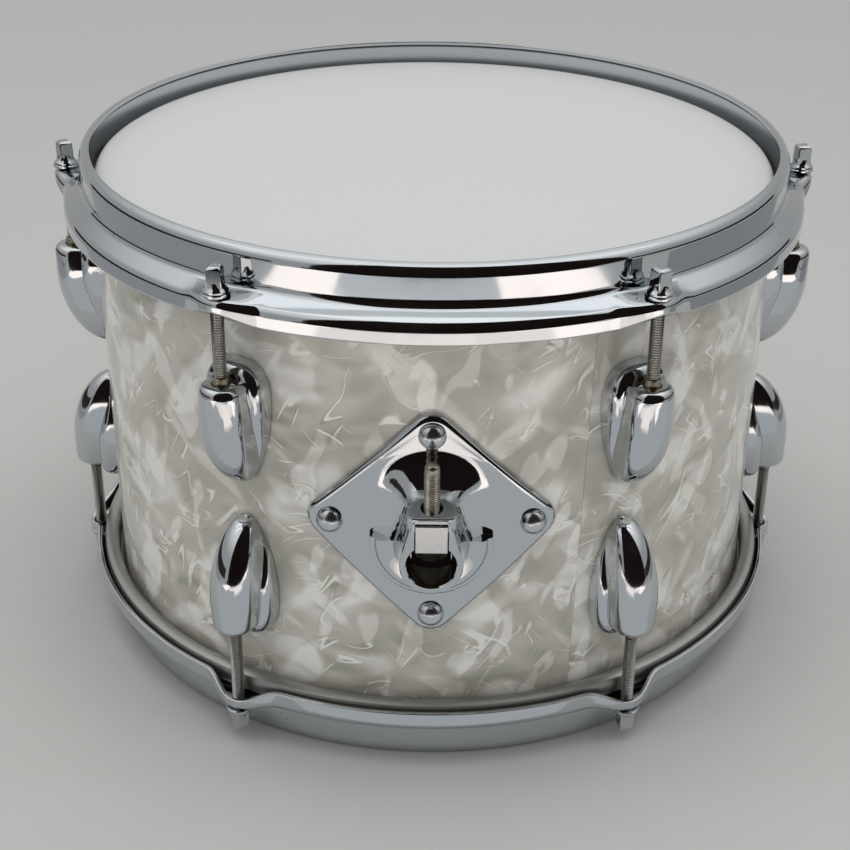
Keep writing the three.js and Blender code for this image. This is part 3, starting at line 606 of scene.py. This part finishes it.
def film():
    """The film lies flat to the bearing edge, turns over it and runs down to the flesh hoop."""
    outside = [(radius, FILM_TOP) for radius in (0, 60, 120, 146.5)]
    outside += [(148.6, FILM_TOP - 0.15), (149.7, FILM_TOP - 0.8), (150.4, FILM_TOP - 2.0),
                (151.1, FILM_TOP - 3.9), (154.2, FILM_TOP - 11.4)]
    inside = [(153.7, FILM_TOP - 11.4), (150.6, FILM_TOP - 4.0), (149.9, FILM_TOP - 2.2),
              (149.3, FILM_TOP - 1.15), (148.4, FILM_TOP - 0.62)]
    inside += [(radius, FILM_TOP - FILM_THICKNESS) for radius in (146.5, 60, 0)]
    return spun([at(0, r, z) for r, z in outside + inside], MIDDLE, UP, ROUND_STEPS)


def flesh_hoop():
    """The ring that the film is glued in, with its edges rolled round."""
    r0, r1, top, low = FLESH_BORE, FLESH_RADIUS, FLESH_TOP, FLESH_BOTTOM
    ring = [(r0, top - 0.4), (r0 + 0.4, top), (r1 - 0.6, top), (r1, top - 0.6), (r1, low + 2.2),
            (r1 - 0.6, low + 0.8), (r1 - 1.9, low), (r0 + 2.2, low), (r0 + 0.9, low + 0.5),
            (r0 + 0.2, low + 1.4)]
    return spun([at(0, r, z) for r, z in ring], MIDDLE, UP, ROUND_STEPS, closed=True)


for maker, part, look, slot in ((film, "head", film_coated, "head_film"),
                                (flesh_hoop, "flesh_hoop", flesh_metal, "flesh_hoop_aluminium")):
    upper = maker()
    lower = copied(upper, 0, True)
    finished(upper, f"{part}_turned_top", look, f"{part}_top")
    finished(lower, f"{part}_turned_bottom", look, f"{part}_bottom")

# ---------------- wrap


def seam_turn(z):
    """Degrees from the front to the leaning seam, at a height from the drum's middle in metres."""
    return SEAM + SEAM_LEAN * (z / MM) / WRAP_HALF


def wrap():
    """The sheet goes once round, and its end laps over its start. It is mapped as it lies flat,
    in millimetres from the seam."""
    steps = 240
    outer = WRAP_BORE + WRAP_SHEET
    rings = []
    for i in range(steps + 1):
        run = 360 * i / steps
        rise = LAP_LIFT * (1 - smooth(run / LAP))
        rings.append([at(SEAM + run + SEAM_LEAN * end, radius + rise, end * WRAP_HALF) for
                      radius, end in ((WRAP_BORE, -1), (outer, -1), (outer, 1), (WRAP_BORE, 1))])
    sheet = loft(rings)
    bore = [at(MOUNT_TURN, out, SOCKET_AXIS) for out in (130, 170)]
    cut(sheet, rod_of(ARM_BORE, *bore, 48))
    take(sheet)
    bpy.ops.object.transform_apply(location=True, rotation=True, scale=True)
    flat = sheet.data.uv_layers.new(name="sheet_mm")
    for face in sheet.data.polygons:
        centre = face.center - MIDDLE
        whole = math.degrees(math.atan2(centre.x, -centre.y))
        past = 360 if whole < seam_turn(centre.z) else 0
        for corner in face.loop_indices:
            place = sheet.data.vertices[sheet.data.loops[corner].vertex_index].co - MIDDLE
            turn = math.degrees(math.atan2(place.x, -place.y))
            turn -= 360 * round((turn - whole) / 360)  # the same side of the back as its face
            run = turn - seam_turn(place.z) + past
            flat.data[corner].uv = (math.radians(run) * WRAP_RADIUS, place.z / MM)
    return sheet


finished(wrap(), "wrap_pearl_sheet", pearl, "wrap", sharp=40)

# ---------------- lugs


def egg_half_width(v):
    """Half the width of a lug's base, at a distance from its wide end: blunt, then pointed."""
    tail = v > LUG_WIDEST
    run = LUG_LENGTH - LUG_WIDEST if tail else LUG_WIDEST
    n = 1.7 if tail else 3.0  # the power of each end's curve, of which 2 is an ellipse
    t = min(1.0, abs(v - LUG_WIDEST) / run)
    return LUG_HALF_WIDTH * (1 - t ** n) ** (1 / n)


def lug_place(across, out, v):
    """A place on a lug at the front of the shell's upper half, out from its seat."""
    return at(0, SEAT + out, RIM - LUG_START - v, across)


def egg_ring(inset, share):
    """A ring round a lug's base, drawn in from its outline and up by a share of its thickness."""
    steps = 28
    scale = 1 - inset / LUG_HALF_WIDTH
    ring = []
    for i in range(2 * steps):
        v = LUG_LENGTH / 2 * (1 + math.cos(math.pi * i / steps))
        side = 1 if i < steps else -1
        across = side * egg_half_width(v) * scale
        v = LUG_WIDEST + (v - LUG_WIDEST) * scale
        thick = mix(LUG_THICK, LUG_TAIL_THICK, smooth((v - LUG_WIDEST) / LUG_TAPER))
        curve = SEAT - math.sqrt(SEAT ** 2 - across ** 2)
        ring.append(lug_place(across, thick * share - curve * (1 - share), v))
    return ring


def nose_ring(v, inset=0.0):
    """A section of a lug's nose: half round outside, with a root in the base. Towards the tail
    it gets narrower and sinks in, slowly and then all at once."""
    steps = 24
    left = 1 - (max(0.0, v - NOSE_TAIL) / (LUG_LENGTH - NOSE_TAIL)) ** 2
    radius = NOSE_RADIUS * left ** 0.35
    centre = (NOSE_AXIS + NOSE_RADIUS) * left ** 0.54 - radius
    radius -= inset
    half = radius * mix(1, NOSE_SWELL, smooth((v - NOSE_SETBACK) / (NOSE_TAIL - NOSE_SETBACK)))
    root = min(1.5, centre - 0.2)
    ring = []
    for i in range(steps + 1):
        a = math.pi * (i / steps - 0.5)
        ring.append(lug_place(half * math.sin(a), centre + radius * math.cos(a), v))
    for side, height in ((1.02, 0.5), (1.04, 1), (-1.04, 1), (-1.02, 0.5)):
        ring.append(lug_place(half * side, mix(centre, root, height), v))
    return ring


def lug():
    """One casting: the egg-shaped base, hollowed round the nose, and the nose bored for a nut."""
    base = loft([egg_ring(inset, share) for inset, share in (
        (8, 0.1), (1.5, 0.1), (0, 0), (0, 0.45), (0.15, 0.62), (0.7, 0.80), (1.7, 0.93),
        (2.9, 0.99), (4.1, 1.0), (5.2, 0.97), (6.2, 0.88), (7.1, 0.76), (8.0, 0.66), (9.4, 0.6),
        (11, 0.58))])
    lip = [nose_ring(NOSE_SETBACK + up, inset) for up, inset in
           ((0, 3.2), (0.12, 2.4), (0.5, 1.5), (1.1, 0.8), (2.0, 0.3), (3.2, 0.05), (3.9, 0))]
    nose = loft(lip + [nose_ring(v) for v in (12, 16, 19.5, 22, 24.5, 27, 30, 33, 36, 39, 41.5, 44,
                                              46.5, 48.5, 50, 51.2, 52.2, 53, 53.7)])
    cut(base, nose, "UNION")
    return cut(base, rod_of(7.9, lug_place(0, NOSE_AXIS, 4), lug_place(0, NOSE_AXIS, 27), 40))


def stations(model, part, node_name, look, body=None, sharp=35.0, twists=None, drop=0.0):
    """Twelve copies of a piece modelled at the front: six at each end."""
    for end in ("top", "bottom"):
        for i in range(EARS):
            lower = end == "bottom"
            twist = twists[i + EARS * lower] if twists else 0
            copy = copied(model, EAR_PITCH * (i + 0.5), lower, twist, drop if lower else 0)
            finished(copy, f"{part}_{end}_{i + 1}", look, f"{node_name}_{end}_{i + 1}",
                     body=f"{body}_{end}_{i + 1}" if body else "drum", sharp=sharp)
    bpy.data.objects.remove(model)


stations(lug(), "lug_cast", "lug", chrome_cast, sharp=38, drop=LUG_DROP)

# ---------------- tension rods and their nuts

ROD_SEAT = RIM - EAR_SEAT  # where a washer rests
THREAD_PITCH, THREAD_RADIUS, THREAD_ROOT = 1.06, 2.7, 2.04


def rod_place(out, up):
    """A place on a rod at the front: out from its axis, and up from its washer's seat."""
    return at(0, ROD_CIRCLE + out, ROD_SEAT + up)


def tension_rod():
    """Thread, shank, washer, flange and the square for a key, standing on the washer's seat."""
    centre = rod_place(0, 0)
    low = -3.0 - THREAD_PITCH  # the first turn, with the others below it
    root, crest = THREAD_ROOT + 0.02, THREAD_RADIUS - 0.04
    parts = [threaded([rod_place(radius, low + share * THREAD_PITCH) for radius, share in (
        (THREAD_ROOT, 0), (root, 0.12), (crest, 0.45), (crest, 0.57), (root, 0.9),
        (THREAD_ROOT, 1))], centre, 31, 16)]
    shank = [(0, -ROD_LENGTH + 0.3), (1.5, -ROD_LENGTH + 0.3), (1.94, -ROD_LENGTH + 1.4),
             (1.94, 1.0), (0, 1.0)]
    washer = [(2.9, 0.3), (5.3, 0.3), (5.6, 0.55), (5.6, 1.25), (5.3, 1.55), (2.9, 1.55)]
    collar = [(0, 1.65), (4.7, 1.65), (5.0, 1.9), (5.0, 2.5), (4.75, 2.85), (3.9, 3.5), (3.35, 4.6),
              (3.2, 5.6), (0, 5.6)]
    for profile, closed in ((shank, False), (washer, True), (collar, False)):
        parts.append(spun([rod_place(r, z) for r, z in profile], centre, UP, 40, closed=closed))
    # The square for the key, with its corners and its top edges chamfered.
    put_down()
    bpy.ops.mesh.primitive_cube_add(size=1, location=rod_place(0, KEY_MIDDLE))
    bpy.ops.object.mode_set(mode="EDIT")
    bpy.ops.transform.resize(value=(KEY_SIDE * MM, KEY_SIDE * MM, KEY_HEIGHT * MM))
    top = rod_place(0, 11.9).z
    pick(lambda p: p.z > top)
    bpy.ops.transform.resize(value=(0.93, 0.93, 1))
    bpy.ops.mesh.bevel(affect="EDGES", offset=0.9 * MM, segments=1)
    everything()
    bpy.ops.mesh.bevel(affect="EDGES", offset=0.28 * MM, segments=2)
    settle_flats(6)
    parts.append(tidy_mesh())
    return joined(parts)


def swivel_nut():
    """A tube in the nose's bore, whose cone stands out of the flat end."""
    ring = [(3.0, -11.6), (3.6, -11.6), (3.6, 0), (3.6, 0.5), (3.3, 2.7), (3.05, 3.0),
            (2.85, 3.0), (2.85, -11)]
    place = [at(0, ROD_CIRCLE + r, RIM - LUG_START - NOSE_SETBACK + z) for r, z in ring]
    return spun(place, rod_place(0, 0), UP, 40, closed=True)


# Where each rod came to rest when the heads were tuned, in degrees.
TUNED = (0, 12, 55, 33, 30, 23.5, 18, 71, 40, 5, 62, 27)
stations(tension_rod(), "rod_threaded", "tension_rod", chrome_rod, "rod", 30, TUNED)
stations(swivel_nut(), "nut_swivel", "swivel_nut", nut_nickel, sharp=30, drop=LUG_DROP)

# ---------------- bracket


def on_bracket(x, z, out):
    """A place on the bracket: across and up from the socket's axis, and out from the drum's."""
    return at(MOUNT_TURN, out, SOCKET_AXIS + z, x)


def diamond_reach(angle, inset):
    """How far the rounded diamond reaches from the socket's axis at an angle."""
    half = (PLATE_HALF - PLATE_CORNER) / math.sqrt(2)
    low, high = 5.0, 70.0
    for _ in range(40):
        reach = (low + high) / 2
        x, z = reach * math.cos(angle), reach * math.sin(angle) - PLATE_RISE + SOCKET_AXIS
        a, b = abs(x + z) / math.sqrt(2) - half, abs(x - z) / math.sqrt(2) - half
        away = math.hypot(max(a, 0), max(b, 0)) + min(max(a, b), 0)
        low, high = (reach, high) if away < PLATE_CORNER - inset else (low, reach)
    return low


def hull_reach(angle, circles):
    """How far a smooth band drawn round some circles (x, z, radius) reaches at an angle."""
    reaches = []
    for lean in (math.radians(k) for k in range(-84, 85, 3)):
        c, s = math.cos(angle + lean), math.sin(angle + lean)
        reaches.append(max(x * c + z * s + r for x, z, r in circles) / math.cos(lean))
    return min(reaches)


# Sections of the housing: millimetres back from the mouth, radius below, then half width,
# height and corner radius above.
HOUSING = (
    (0.5, 12.4, 7.2, 20.9, 1.6), (2.5, 12.6, 8.0, 21.2, 2.0), (5, 12.8, 8.8, 21.6, 2.6),
    (8, 13.0, 9.0, 22.2, 3.2), (10.5, 13.2, 9.2, 22.9, 4.0), (12.5, 13.6, 9.7, 24.0, 5.0),
    (14.2, 14.1, 10.6, 25.5, 6.5), (15.8, 14.9, 12.0, 27.4, 8.5), (17.2, 15.9, 14.0, 29.6, 11.0),
    (18.4, 17.1, 16.4, 31.8, 14.0), (19.4, 18.7, 19.0, 34.0, 17.6), (20.2, 20.7, 21.4, 36.0, 20.6),
    (20.7, 22.6, 23.4, 37.8, 23.2), (21.0, 24.6, 25.4, 39.6, 25.4), (21.1, 27.0, 27.8, 42.0, 27.8),
)


def housing_circles(below, half, top, corner):
    """The circles of a section: the round bottom, and the two corners above."""
    return [(0, 0, below), (half - corner, top - corner, corner),
            (corner - half, top - corner, corner)]


def bracket():
    """One casting: the plate bent to the drum, the dish and housing rising from it in rings, the
    step below, the pad, and then the slot and holes."""
    count = 144
    turns = [2 * math.pi * i / count for i in range(count)]
    turns = [t - 0.6 * math.sin(4 * t) / 4 for t in turns]  # closer towards the four corners

    def ring(reach, out, curved=False):
        """Points all round, in a flat plane or on a cylinder about the drum's axis."""
        points = []
        for t in turns:
            x, z = reach(t) * math.cos(t), reach(t) * math.sin(t)
            points.append(on_bracket(x, z, math.sqrt(out ** 2 - x ** 2) if curved else out))
        return points

    def circle(radius, out, curved=False):
        return ring(lambda t: radius, out, curved)

    seat = SEAT + 0.05
    bore, inner = ARM_BORE / 2, 22
    rings = [circle(bore, seat - 0.4), circle(14, seat, True), circle(inner, seat, True)]
    rings += [ring(lambda t: mix(inner, diamond_reach(t, 2), k), seat, True) for k in (0.35, 0.7)]
    edge = ((2.0, 0), (0.5, 0.0), (0.1, 0.3), (0, 1.0), (0.05, 1.6), (0.35, 2.3), (0.95, 2.85),
            (1.9, 3.15), (3.2, 3.2))
    rings += [ring(lambda t: diamond_reach(t, inset), seat + up, True) for inset, up in edge]
    foot = housing_circles(*HOUSING[-1][1:])
    for k in (0.25, 0.55, 0.8):
        rings.append(ring(lambda t: mix(diamond_reach(t, 3.2), hull_reach(t, foot), k),
                          PLATE_FACE, True))
    for back, *section in reversed(HOUSING):
        flat = smooth((back - 17) / 4.1)  # near the plate the housing follows the drum's curve
        circles = housing_circles(*section)
        points = []
        for t in turns:
            reach = hull_reach(t, circles)
            x, z = reach * math.cos(t), reach * math.sin(t)
            sag = PLATE_FACE - math.sqrt(PLATE_FACE ** 2 - x ** 2)
            points.append(on_bracket(x, z, SOCKET_MOUTH - back - sag * flat))
        rings.append(points)
    lip = housing_circles(12.0, 6.8, 20.5, 1.4)
    rings.append(ring(lambda t: hull_reach(t, lip), SOCKET_MOUTH))
    rings += [circle(bore + 0.4, SOCKET_MOUTH), circle(bore, SOCKET_MOUTH - 0.4)]
    body = loft(rings, looped=True)
    # The step round the lower half of the housing.
    profile = ((8, -2), (24.5, -2), (24.5, 2.6), (24.2, 3.5), (23.4, 4.0), (22.5, 4.1), (22.2, 4.6),
               (21.6, 5.5), (20.6, 6.0), (19.2, 5.9), (16.5, 5.2), (14.0, 4.8), (8, 4.8))
    tilt = math.radians(6)  # how far above the axis each end of the step reaches
    start = [on_bracket(r * math.cos(tilt), r * math.sin(tilt), PLATE_FACE + up)
             for r, up in profile]
    axis = at(MOUNT_TURN, 100, 0) - at(MOUNT_TURN, 0, 0)
    draw(start, True)
    everything()
    bpy.ops.mesh.edge_face_add()
    everything()
    bpy.ops.mesh.spin(steps=64, angle=math.pi + 2 * tilt, center=on_bracket(0, 0, 100),
                      axis=axis.normalized())
    cut(body, tidy_mesh(), "UNION")
    # The flat pad under the clamp's nut: straight in front and round behind.
    outline = [(7.2, 0.3), (8.5, 0.9), (9.4, 2.0)]
    outline += [(10 * math.cos(math.radians(a)), 3.6 + 10 * math.sin(math.radians(a)))
                for a in range(0, 91, 9)]
    outline += [(-x, back) for x, back in reversed(outline[:-1])]

    def pad_ring(inset, up):
        """The outline, drawn in towards its middle, on a plane that rises to the back."""
        share = inset / 10
        return [on_bracket(x * (1 - share), up + 0.16 * back, SOCKET_MOUTH - mix(back, 5, share))
                for x, back in outline]

    cut(body, loft([pad_ring(inset, up) for inset, up in (
        (0, 8), (0, 15), (0, 20.6), (0.1, 21.0), (0.35, 21.3), (0.8, 21.4), (3, 21.4))]), "UNION")
    # The slot of the clamp block and the hole of its stud.
    put_down()
    bpy.ops.mesh.primitive_cube_add(size=1, location=on_bracket(0, 9.6, SOCKET_MOUTH - 6),
                                    rotation=(0, 0, math.radians(MOUNT_TURN)),
                                    scale=(13.3 * MM, 15.2 * MM, 19.2 * MM))
    cut(body, bpy.context.object)
    return cut(body, rod_of(8.8, on_bracket(0, 15, STUD_AXIS), on_bracket(0, 30, STUD_AXIS), 40))


finished(bracket(), "bracket_cast", chrome_bracket, "mount_bracket",
         sharp=32)


def plate_screw():
    """A dome with a short shank, at the diamond's middle."""
    profile = [(0, 4.2), (1.2, 4.13), (2.4, 3.85), (3.5, 3.3), (4.5, 2.45), (5.1, 1.5),
               (5.42, 0.7), (5.5, 0.1), (5.5, -0.2), (2.3, -0.2), (2.3, -8), (0, -8)]
    place = [at(0, PLATE_FACE + 0.2 + z, PLATE_RISE + r) for r, z in profile]
    return spun(place, at(0, 100, PLATE_RISE), (0, 1, 0), 48)


screw = plate_screw()
screw_turn = math.degrees(SCREW_REACH / PLATE_FACE)
for i, (turn, up) in enumerate(((0, SCREW_REACH), (screw_turn, 0), (0, -SCREW_REACH),
                                (-screw_turn, 0))):
    one = copied(screw, MOUNT_TURN + turn)
    one.location.z += up * MM
    finished(one, f"screw_domed_{i + 1}", chrome_screw, f"mount_screw_{i + 1}",
             sharp=40)
bpy.data.objects.remove(screw)


def clamp_block():
    """The block that closes on the arm, a little behind the housing's mouth, bored for its stud."""
    place = on_bracket(0, BLOCK_FOOT + BLOCK_HEIGHT / 2, SOCKET_MOUTH - 0.3 - BLOCK_DEPTH / 2)
    put_down()
    bpy.ops.mesh.primitive_cube_add(size=1, location=place,
                                    rotation=(0, 0, math.radians(MOUNT_TURN)),
                                    scale=(BLOCK_WIDTH * MM, BLOCK_DEPTH * MM, BLOCK_HEIGHT * MM))
    block = bpy.context.object
    bpy.ops.object.transform_apply(location=False, rotation=False, scale=True)
    use(block, "BEVEL", width=0.5 * MM, segments=3)
    bpy.ops.object.mode_set(mode="EDIT")
    settle_flats(20)
    tidy_mesh()
    return cut(block, rod_of(6.8, on_bracket(0, 9, STUD_AXIS), on_bracket(0, 20, STUD_AXIS)))


def clamp_stud():
    """The stud that pulls the block up, with its thread and a rounded tip."""
    top, pitch = 41.9, 1.0
    low = top - 3.6

    def stud_place(r, z):
        return on_bracket(0, z, STUD_AXIS + r)

    thread = threaded([stud_place(r, low + up) for r, up in (
        (2.65, 0), (3.1, 0.38), (3.1, 0.55), (2.65, 0.92), (2.65, pitch))],
        stud_place(0, low), 30, 20)
    tip = spun([stud_place(r, top - down) for r, down in (
        (0, 6), (2.6, 6), (2.9, 3.0), (2.9, 1.6), (2.6, 0.8), (1.9, 0.2), (1.0, 0), (0, 0))],
        stud_place(0, 0), UP, 32)
    return joined([thread, tip])


finished(clamp_block(), "block_clamping", block_nickel, "clamp_block", "clamp")
finished(clamp_stud(), "stud_threaded", stud_steel, "clamp_stud", "clamp", sharp=30)

# ---------------- carried-over nodes

for name, look in (("shell", maple), ("reinforcement_ring_top", maple),
                   ("reinforcement_ring_bottom", maple),
                   *((f"mount_nut_{i}", zinc_plain) for i in (1, 2, 3, 4))):
    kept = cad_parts[name]
    kept.data.materials.clear()
    kept.data.materials.append(look)

# ---------------- stage, light and camera


def card(name, corners, colour, strength):
    """A flat panel that only mirrors see."""
    draw(corners, True)
    everything()
    bpy.ops.mesh.edge_face_add()
    put_down()
    panel = bpy.context.object
    panel.name = name
    look = new_look(name)
    glow = node(look, "ShaderNodeEmission", {"Color": linear(colour), "Strength": strength})
    node(look, "ShaderNodeOutputMaterial", {}, {"Surface": (glow, "Emission")})
    panel.data.materials.append(look)
    panel.visible_camera = panel.visible_diffuse = panel.visible_shadow = False


def level(height, *corners):
    """Corners of a level panel, from places across and back."""
    return [(x, y, height) for x, y in corners]


def oblong(height, x0, x1, y0, y1):
    """Corners of a level oblong panel."""
    return level(height, (x0, y0), (x1, y0), (x1, y1), (x0, y1))


def wall(height, start, end):
    """Corners of an upright panel on the floor."""
    return [(*start, 0.0), (*end, 0.0), (*end, height), (*start, height)]


put_down()
bpy.ops.mesh.primitive_plane_add(size=8, location=(0, 0, 0))
floor = bpy.context.object
floor.name = "floor"
floor_look = plain_look("seamless_paper_matt", "#BDBDBB", 0.85, 0.0, "#BABAB8", 30, 0.0)
floor.data.materials.append(floor_look)

# What the chrome mirrors. In front lies a floor with a lamp's light on it in patches, broken by
# a shadow, and less of it at the sides. Beyond the paper's edges it is dark, and so is the room.
# The ceiling is dark in front, then white, with a grey band across it.
CEILING = 1.9
for name, colour, strength, corners in (
        ("floor_near", "#F0F3F6", 0.6, oblong(0.002, -0.5, 0.5, -0.56, -0.17)),
        ("floor_far", "#F0F3F6", 0.84, oblong(0.002, -0.5, 0.5, -0.665, -0.56)),
        ("floor_shaded_left", "#F4F6FA", 0.38, oblong(0.001, -0.95, -0.52, -0.36, 0.6)),
        ("floor_shaded_right", "#F4F6FA", 0.32, oblong(0.001, 0.53, 0.95, -0.24, 0.6)),
        ("floor_lit_left", "#FFF3EC", 1.75,
         level(0.003, (-0.45, -0.665), (-0.29, -0.665), (-0.29, -0.4), (-0.47, -0.4))),
        ("floor_lit_right", "#FFF3EC", 1.75,
         level(0.003, (0.18, -0.665), (0.45, -0.665), (0.47, -0.4), (0.23, -0.4))),
        ("floor_lit_middle", "#FFF3EC", 1.4, oblong(0.004, -0.1, 0.1, -0.602, -0.41)),
        ("floor_lit_between", "#FFF3EC", 1.3,
         level(0.004, (-0.29, -0.55), (-0.1, -0.602), (-0.1, -0.47), (-0.29, -0.47))),
        ("floor_lit_beside", "#FFF3EC", 1.3,
         level(0.004, (0.1, -0.602), (0.29, -0.55), (0.29, -0.47), (0.1, -0.47))),
        ("floor_half_lit", "#FFF6F0", 1.05, oblong(0.004, -0.1, 0.1, -0.41, -0.39)),
        ("floor_less_lit", "#FAF6F2", 0.8, oblong(0.004, -0.1, 0.1, -0.39, -0.365)),
        ("room_left", "#332F2D", 1.0, wall(0.28, (-1.3, -1.2), (-1.3, 1.0))),
        ("room_right", "#332F2D", 1.0, wall(0.3, (1.75, -1.1), (1.5, 1.0))),
        ("floor_dark", "#140E0D", 1.0,
         level(0.002, (-0.95, -1.2), (1.7, -1.1), (0.6, -0.666), (-0.5, -0.666))),
        ("paper_edge_left", "#202224", 1.0,
         level(0.002, (-0.80, -0.79), (-0.785, -0.79), (-0.685, 0.5), (-0.70, 0.5))),
        ("paper_edge_right", "#202224", 1.0,
         level(0.002, (0.785, -0.79), (0.80, -0.79), (0.70, 0.5), (0.685, 0.5))),
        ("dark_room", "#1A1311", 1.0, wall(CEILING, (-0.85, -1.2), (1.7, -1.1))),
        ("dark_ceiling", "#1A1311", 1.0,
         level(CEILING, (-0.85, -1.2), (1.7, -1.1), (0.6, -0.40), (-0.3, -0.40))),
        ("white_ceiling_front", "#FFFFFF", 1.4, oblong(CEILING, -1.5, 1.5, -0.40, -0.14)),
        ("grey_ceiling", "#EEF4F6", 0.85, oblong(CEILING, -1.5, 1.5, -0.14, 0.01)),
        ("white_ceiling_back", "#FBFDFF", 1.35, oblong(CEILING, -1.5, 1.5, 0.01, 0.4))):
    card(name, corners, colour, strength)

world = bpy.data.worlds.new("studio")
bpy.context.scene.world = world
world.use_nodes = True
world.node_tree.nodes.clear()
sky = node(world, "ShaderNodeTexCoord")
parts = node(world, "ShaderNodeSeparateXYZ", {}, {"Vector": (sky, "Generated")})
# The room is darker near the floor than overhead.
height = node(world, "ShaderNodeMapRange", {"From Min": 0.3, "From Max": 0.85, "To Min": 0.42,
              "To Max": 0.95}, {"Value": (parts, "Z")}, interpolation_type="SMOOTHSTEP")
glow = node(world, "ShaderNodeBackground", {"Color": (1, 1, 1, 1)},
            {"Strength": (height, "Result")})
node(world, "ShaderNodeOutputWorld", {}, {"Surface": (glow, "Background")})

# One softbox overhead gives the shadow on the floor.
put_down()
place, aim = Vector((0, -0.1, 1.5)), Vector((0, 0, 0.1))
bpy.ops.object.light_add(type="AREA", location=place)
lamp = bpy.context.object
lamp.name = "overhead"
lamp.data.shape = "RECTANGLE"
lamp.data.size, lamp.data.size_y = 1.2, 0.9
lamp.data.energy = 6.5
lamp.rotation_euler = (aim - place).to_track_quat("-Z", "Y").to_euler()
lamp.visible_glossy = False

CAMERA = Vector((-9.84, -700.68, 451.79 - RIM))  # from the drum's middle, in mm
CAMERA_PAN, CAMERA_TILT, CAMERA_ROLL = -0.557, 28.202, 0.513  # degrees; the tilt is downwards
put_down()
bpy.ops.object.camera_add(location=MIDDLE + CAMERA * MM)
camera = bpy.context.object
turned = (Matrix.Rotation(math.radians(CAMERA_PAN), 4, "Z")
          @ Matrix.Rotation(math.radians(90 - CAMERA_TILT), 4, "X")
          @ Matrix.Rotation(math.radians(CAMERA_ROLL), 4, "Z"))
camera.rotation_euler = turned.to_euler()
camera.data.lens = 68.70
camera.data.sensor_width = 36
bpy.context.scene.camera = camera

bpy.context.scene.view_settings.view_transform = "Standard"
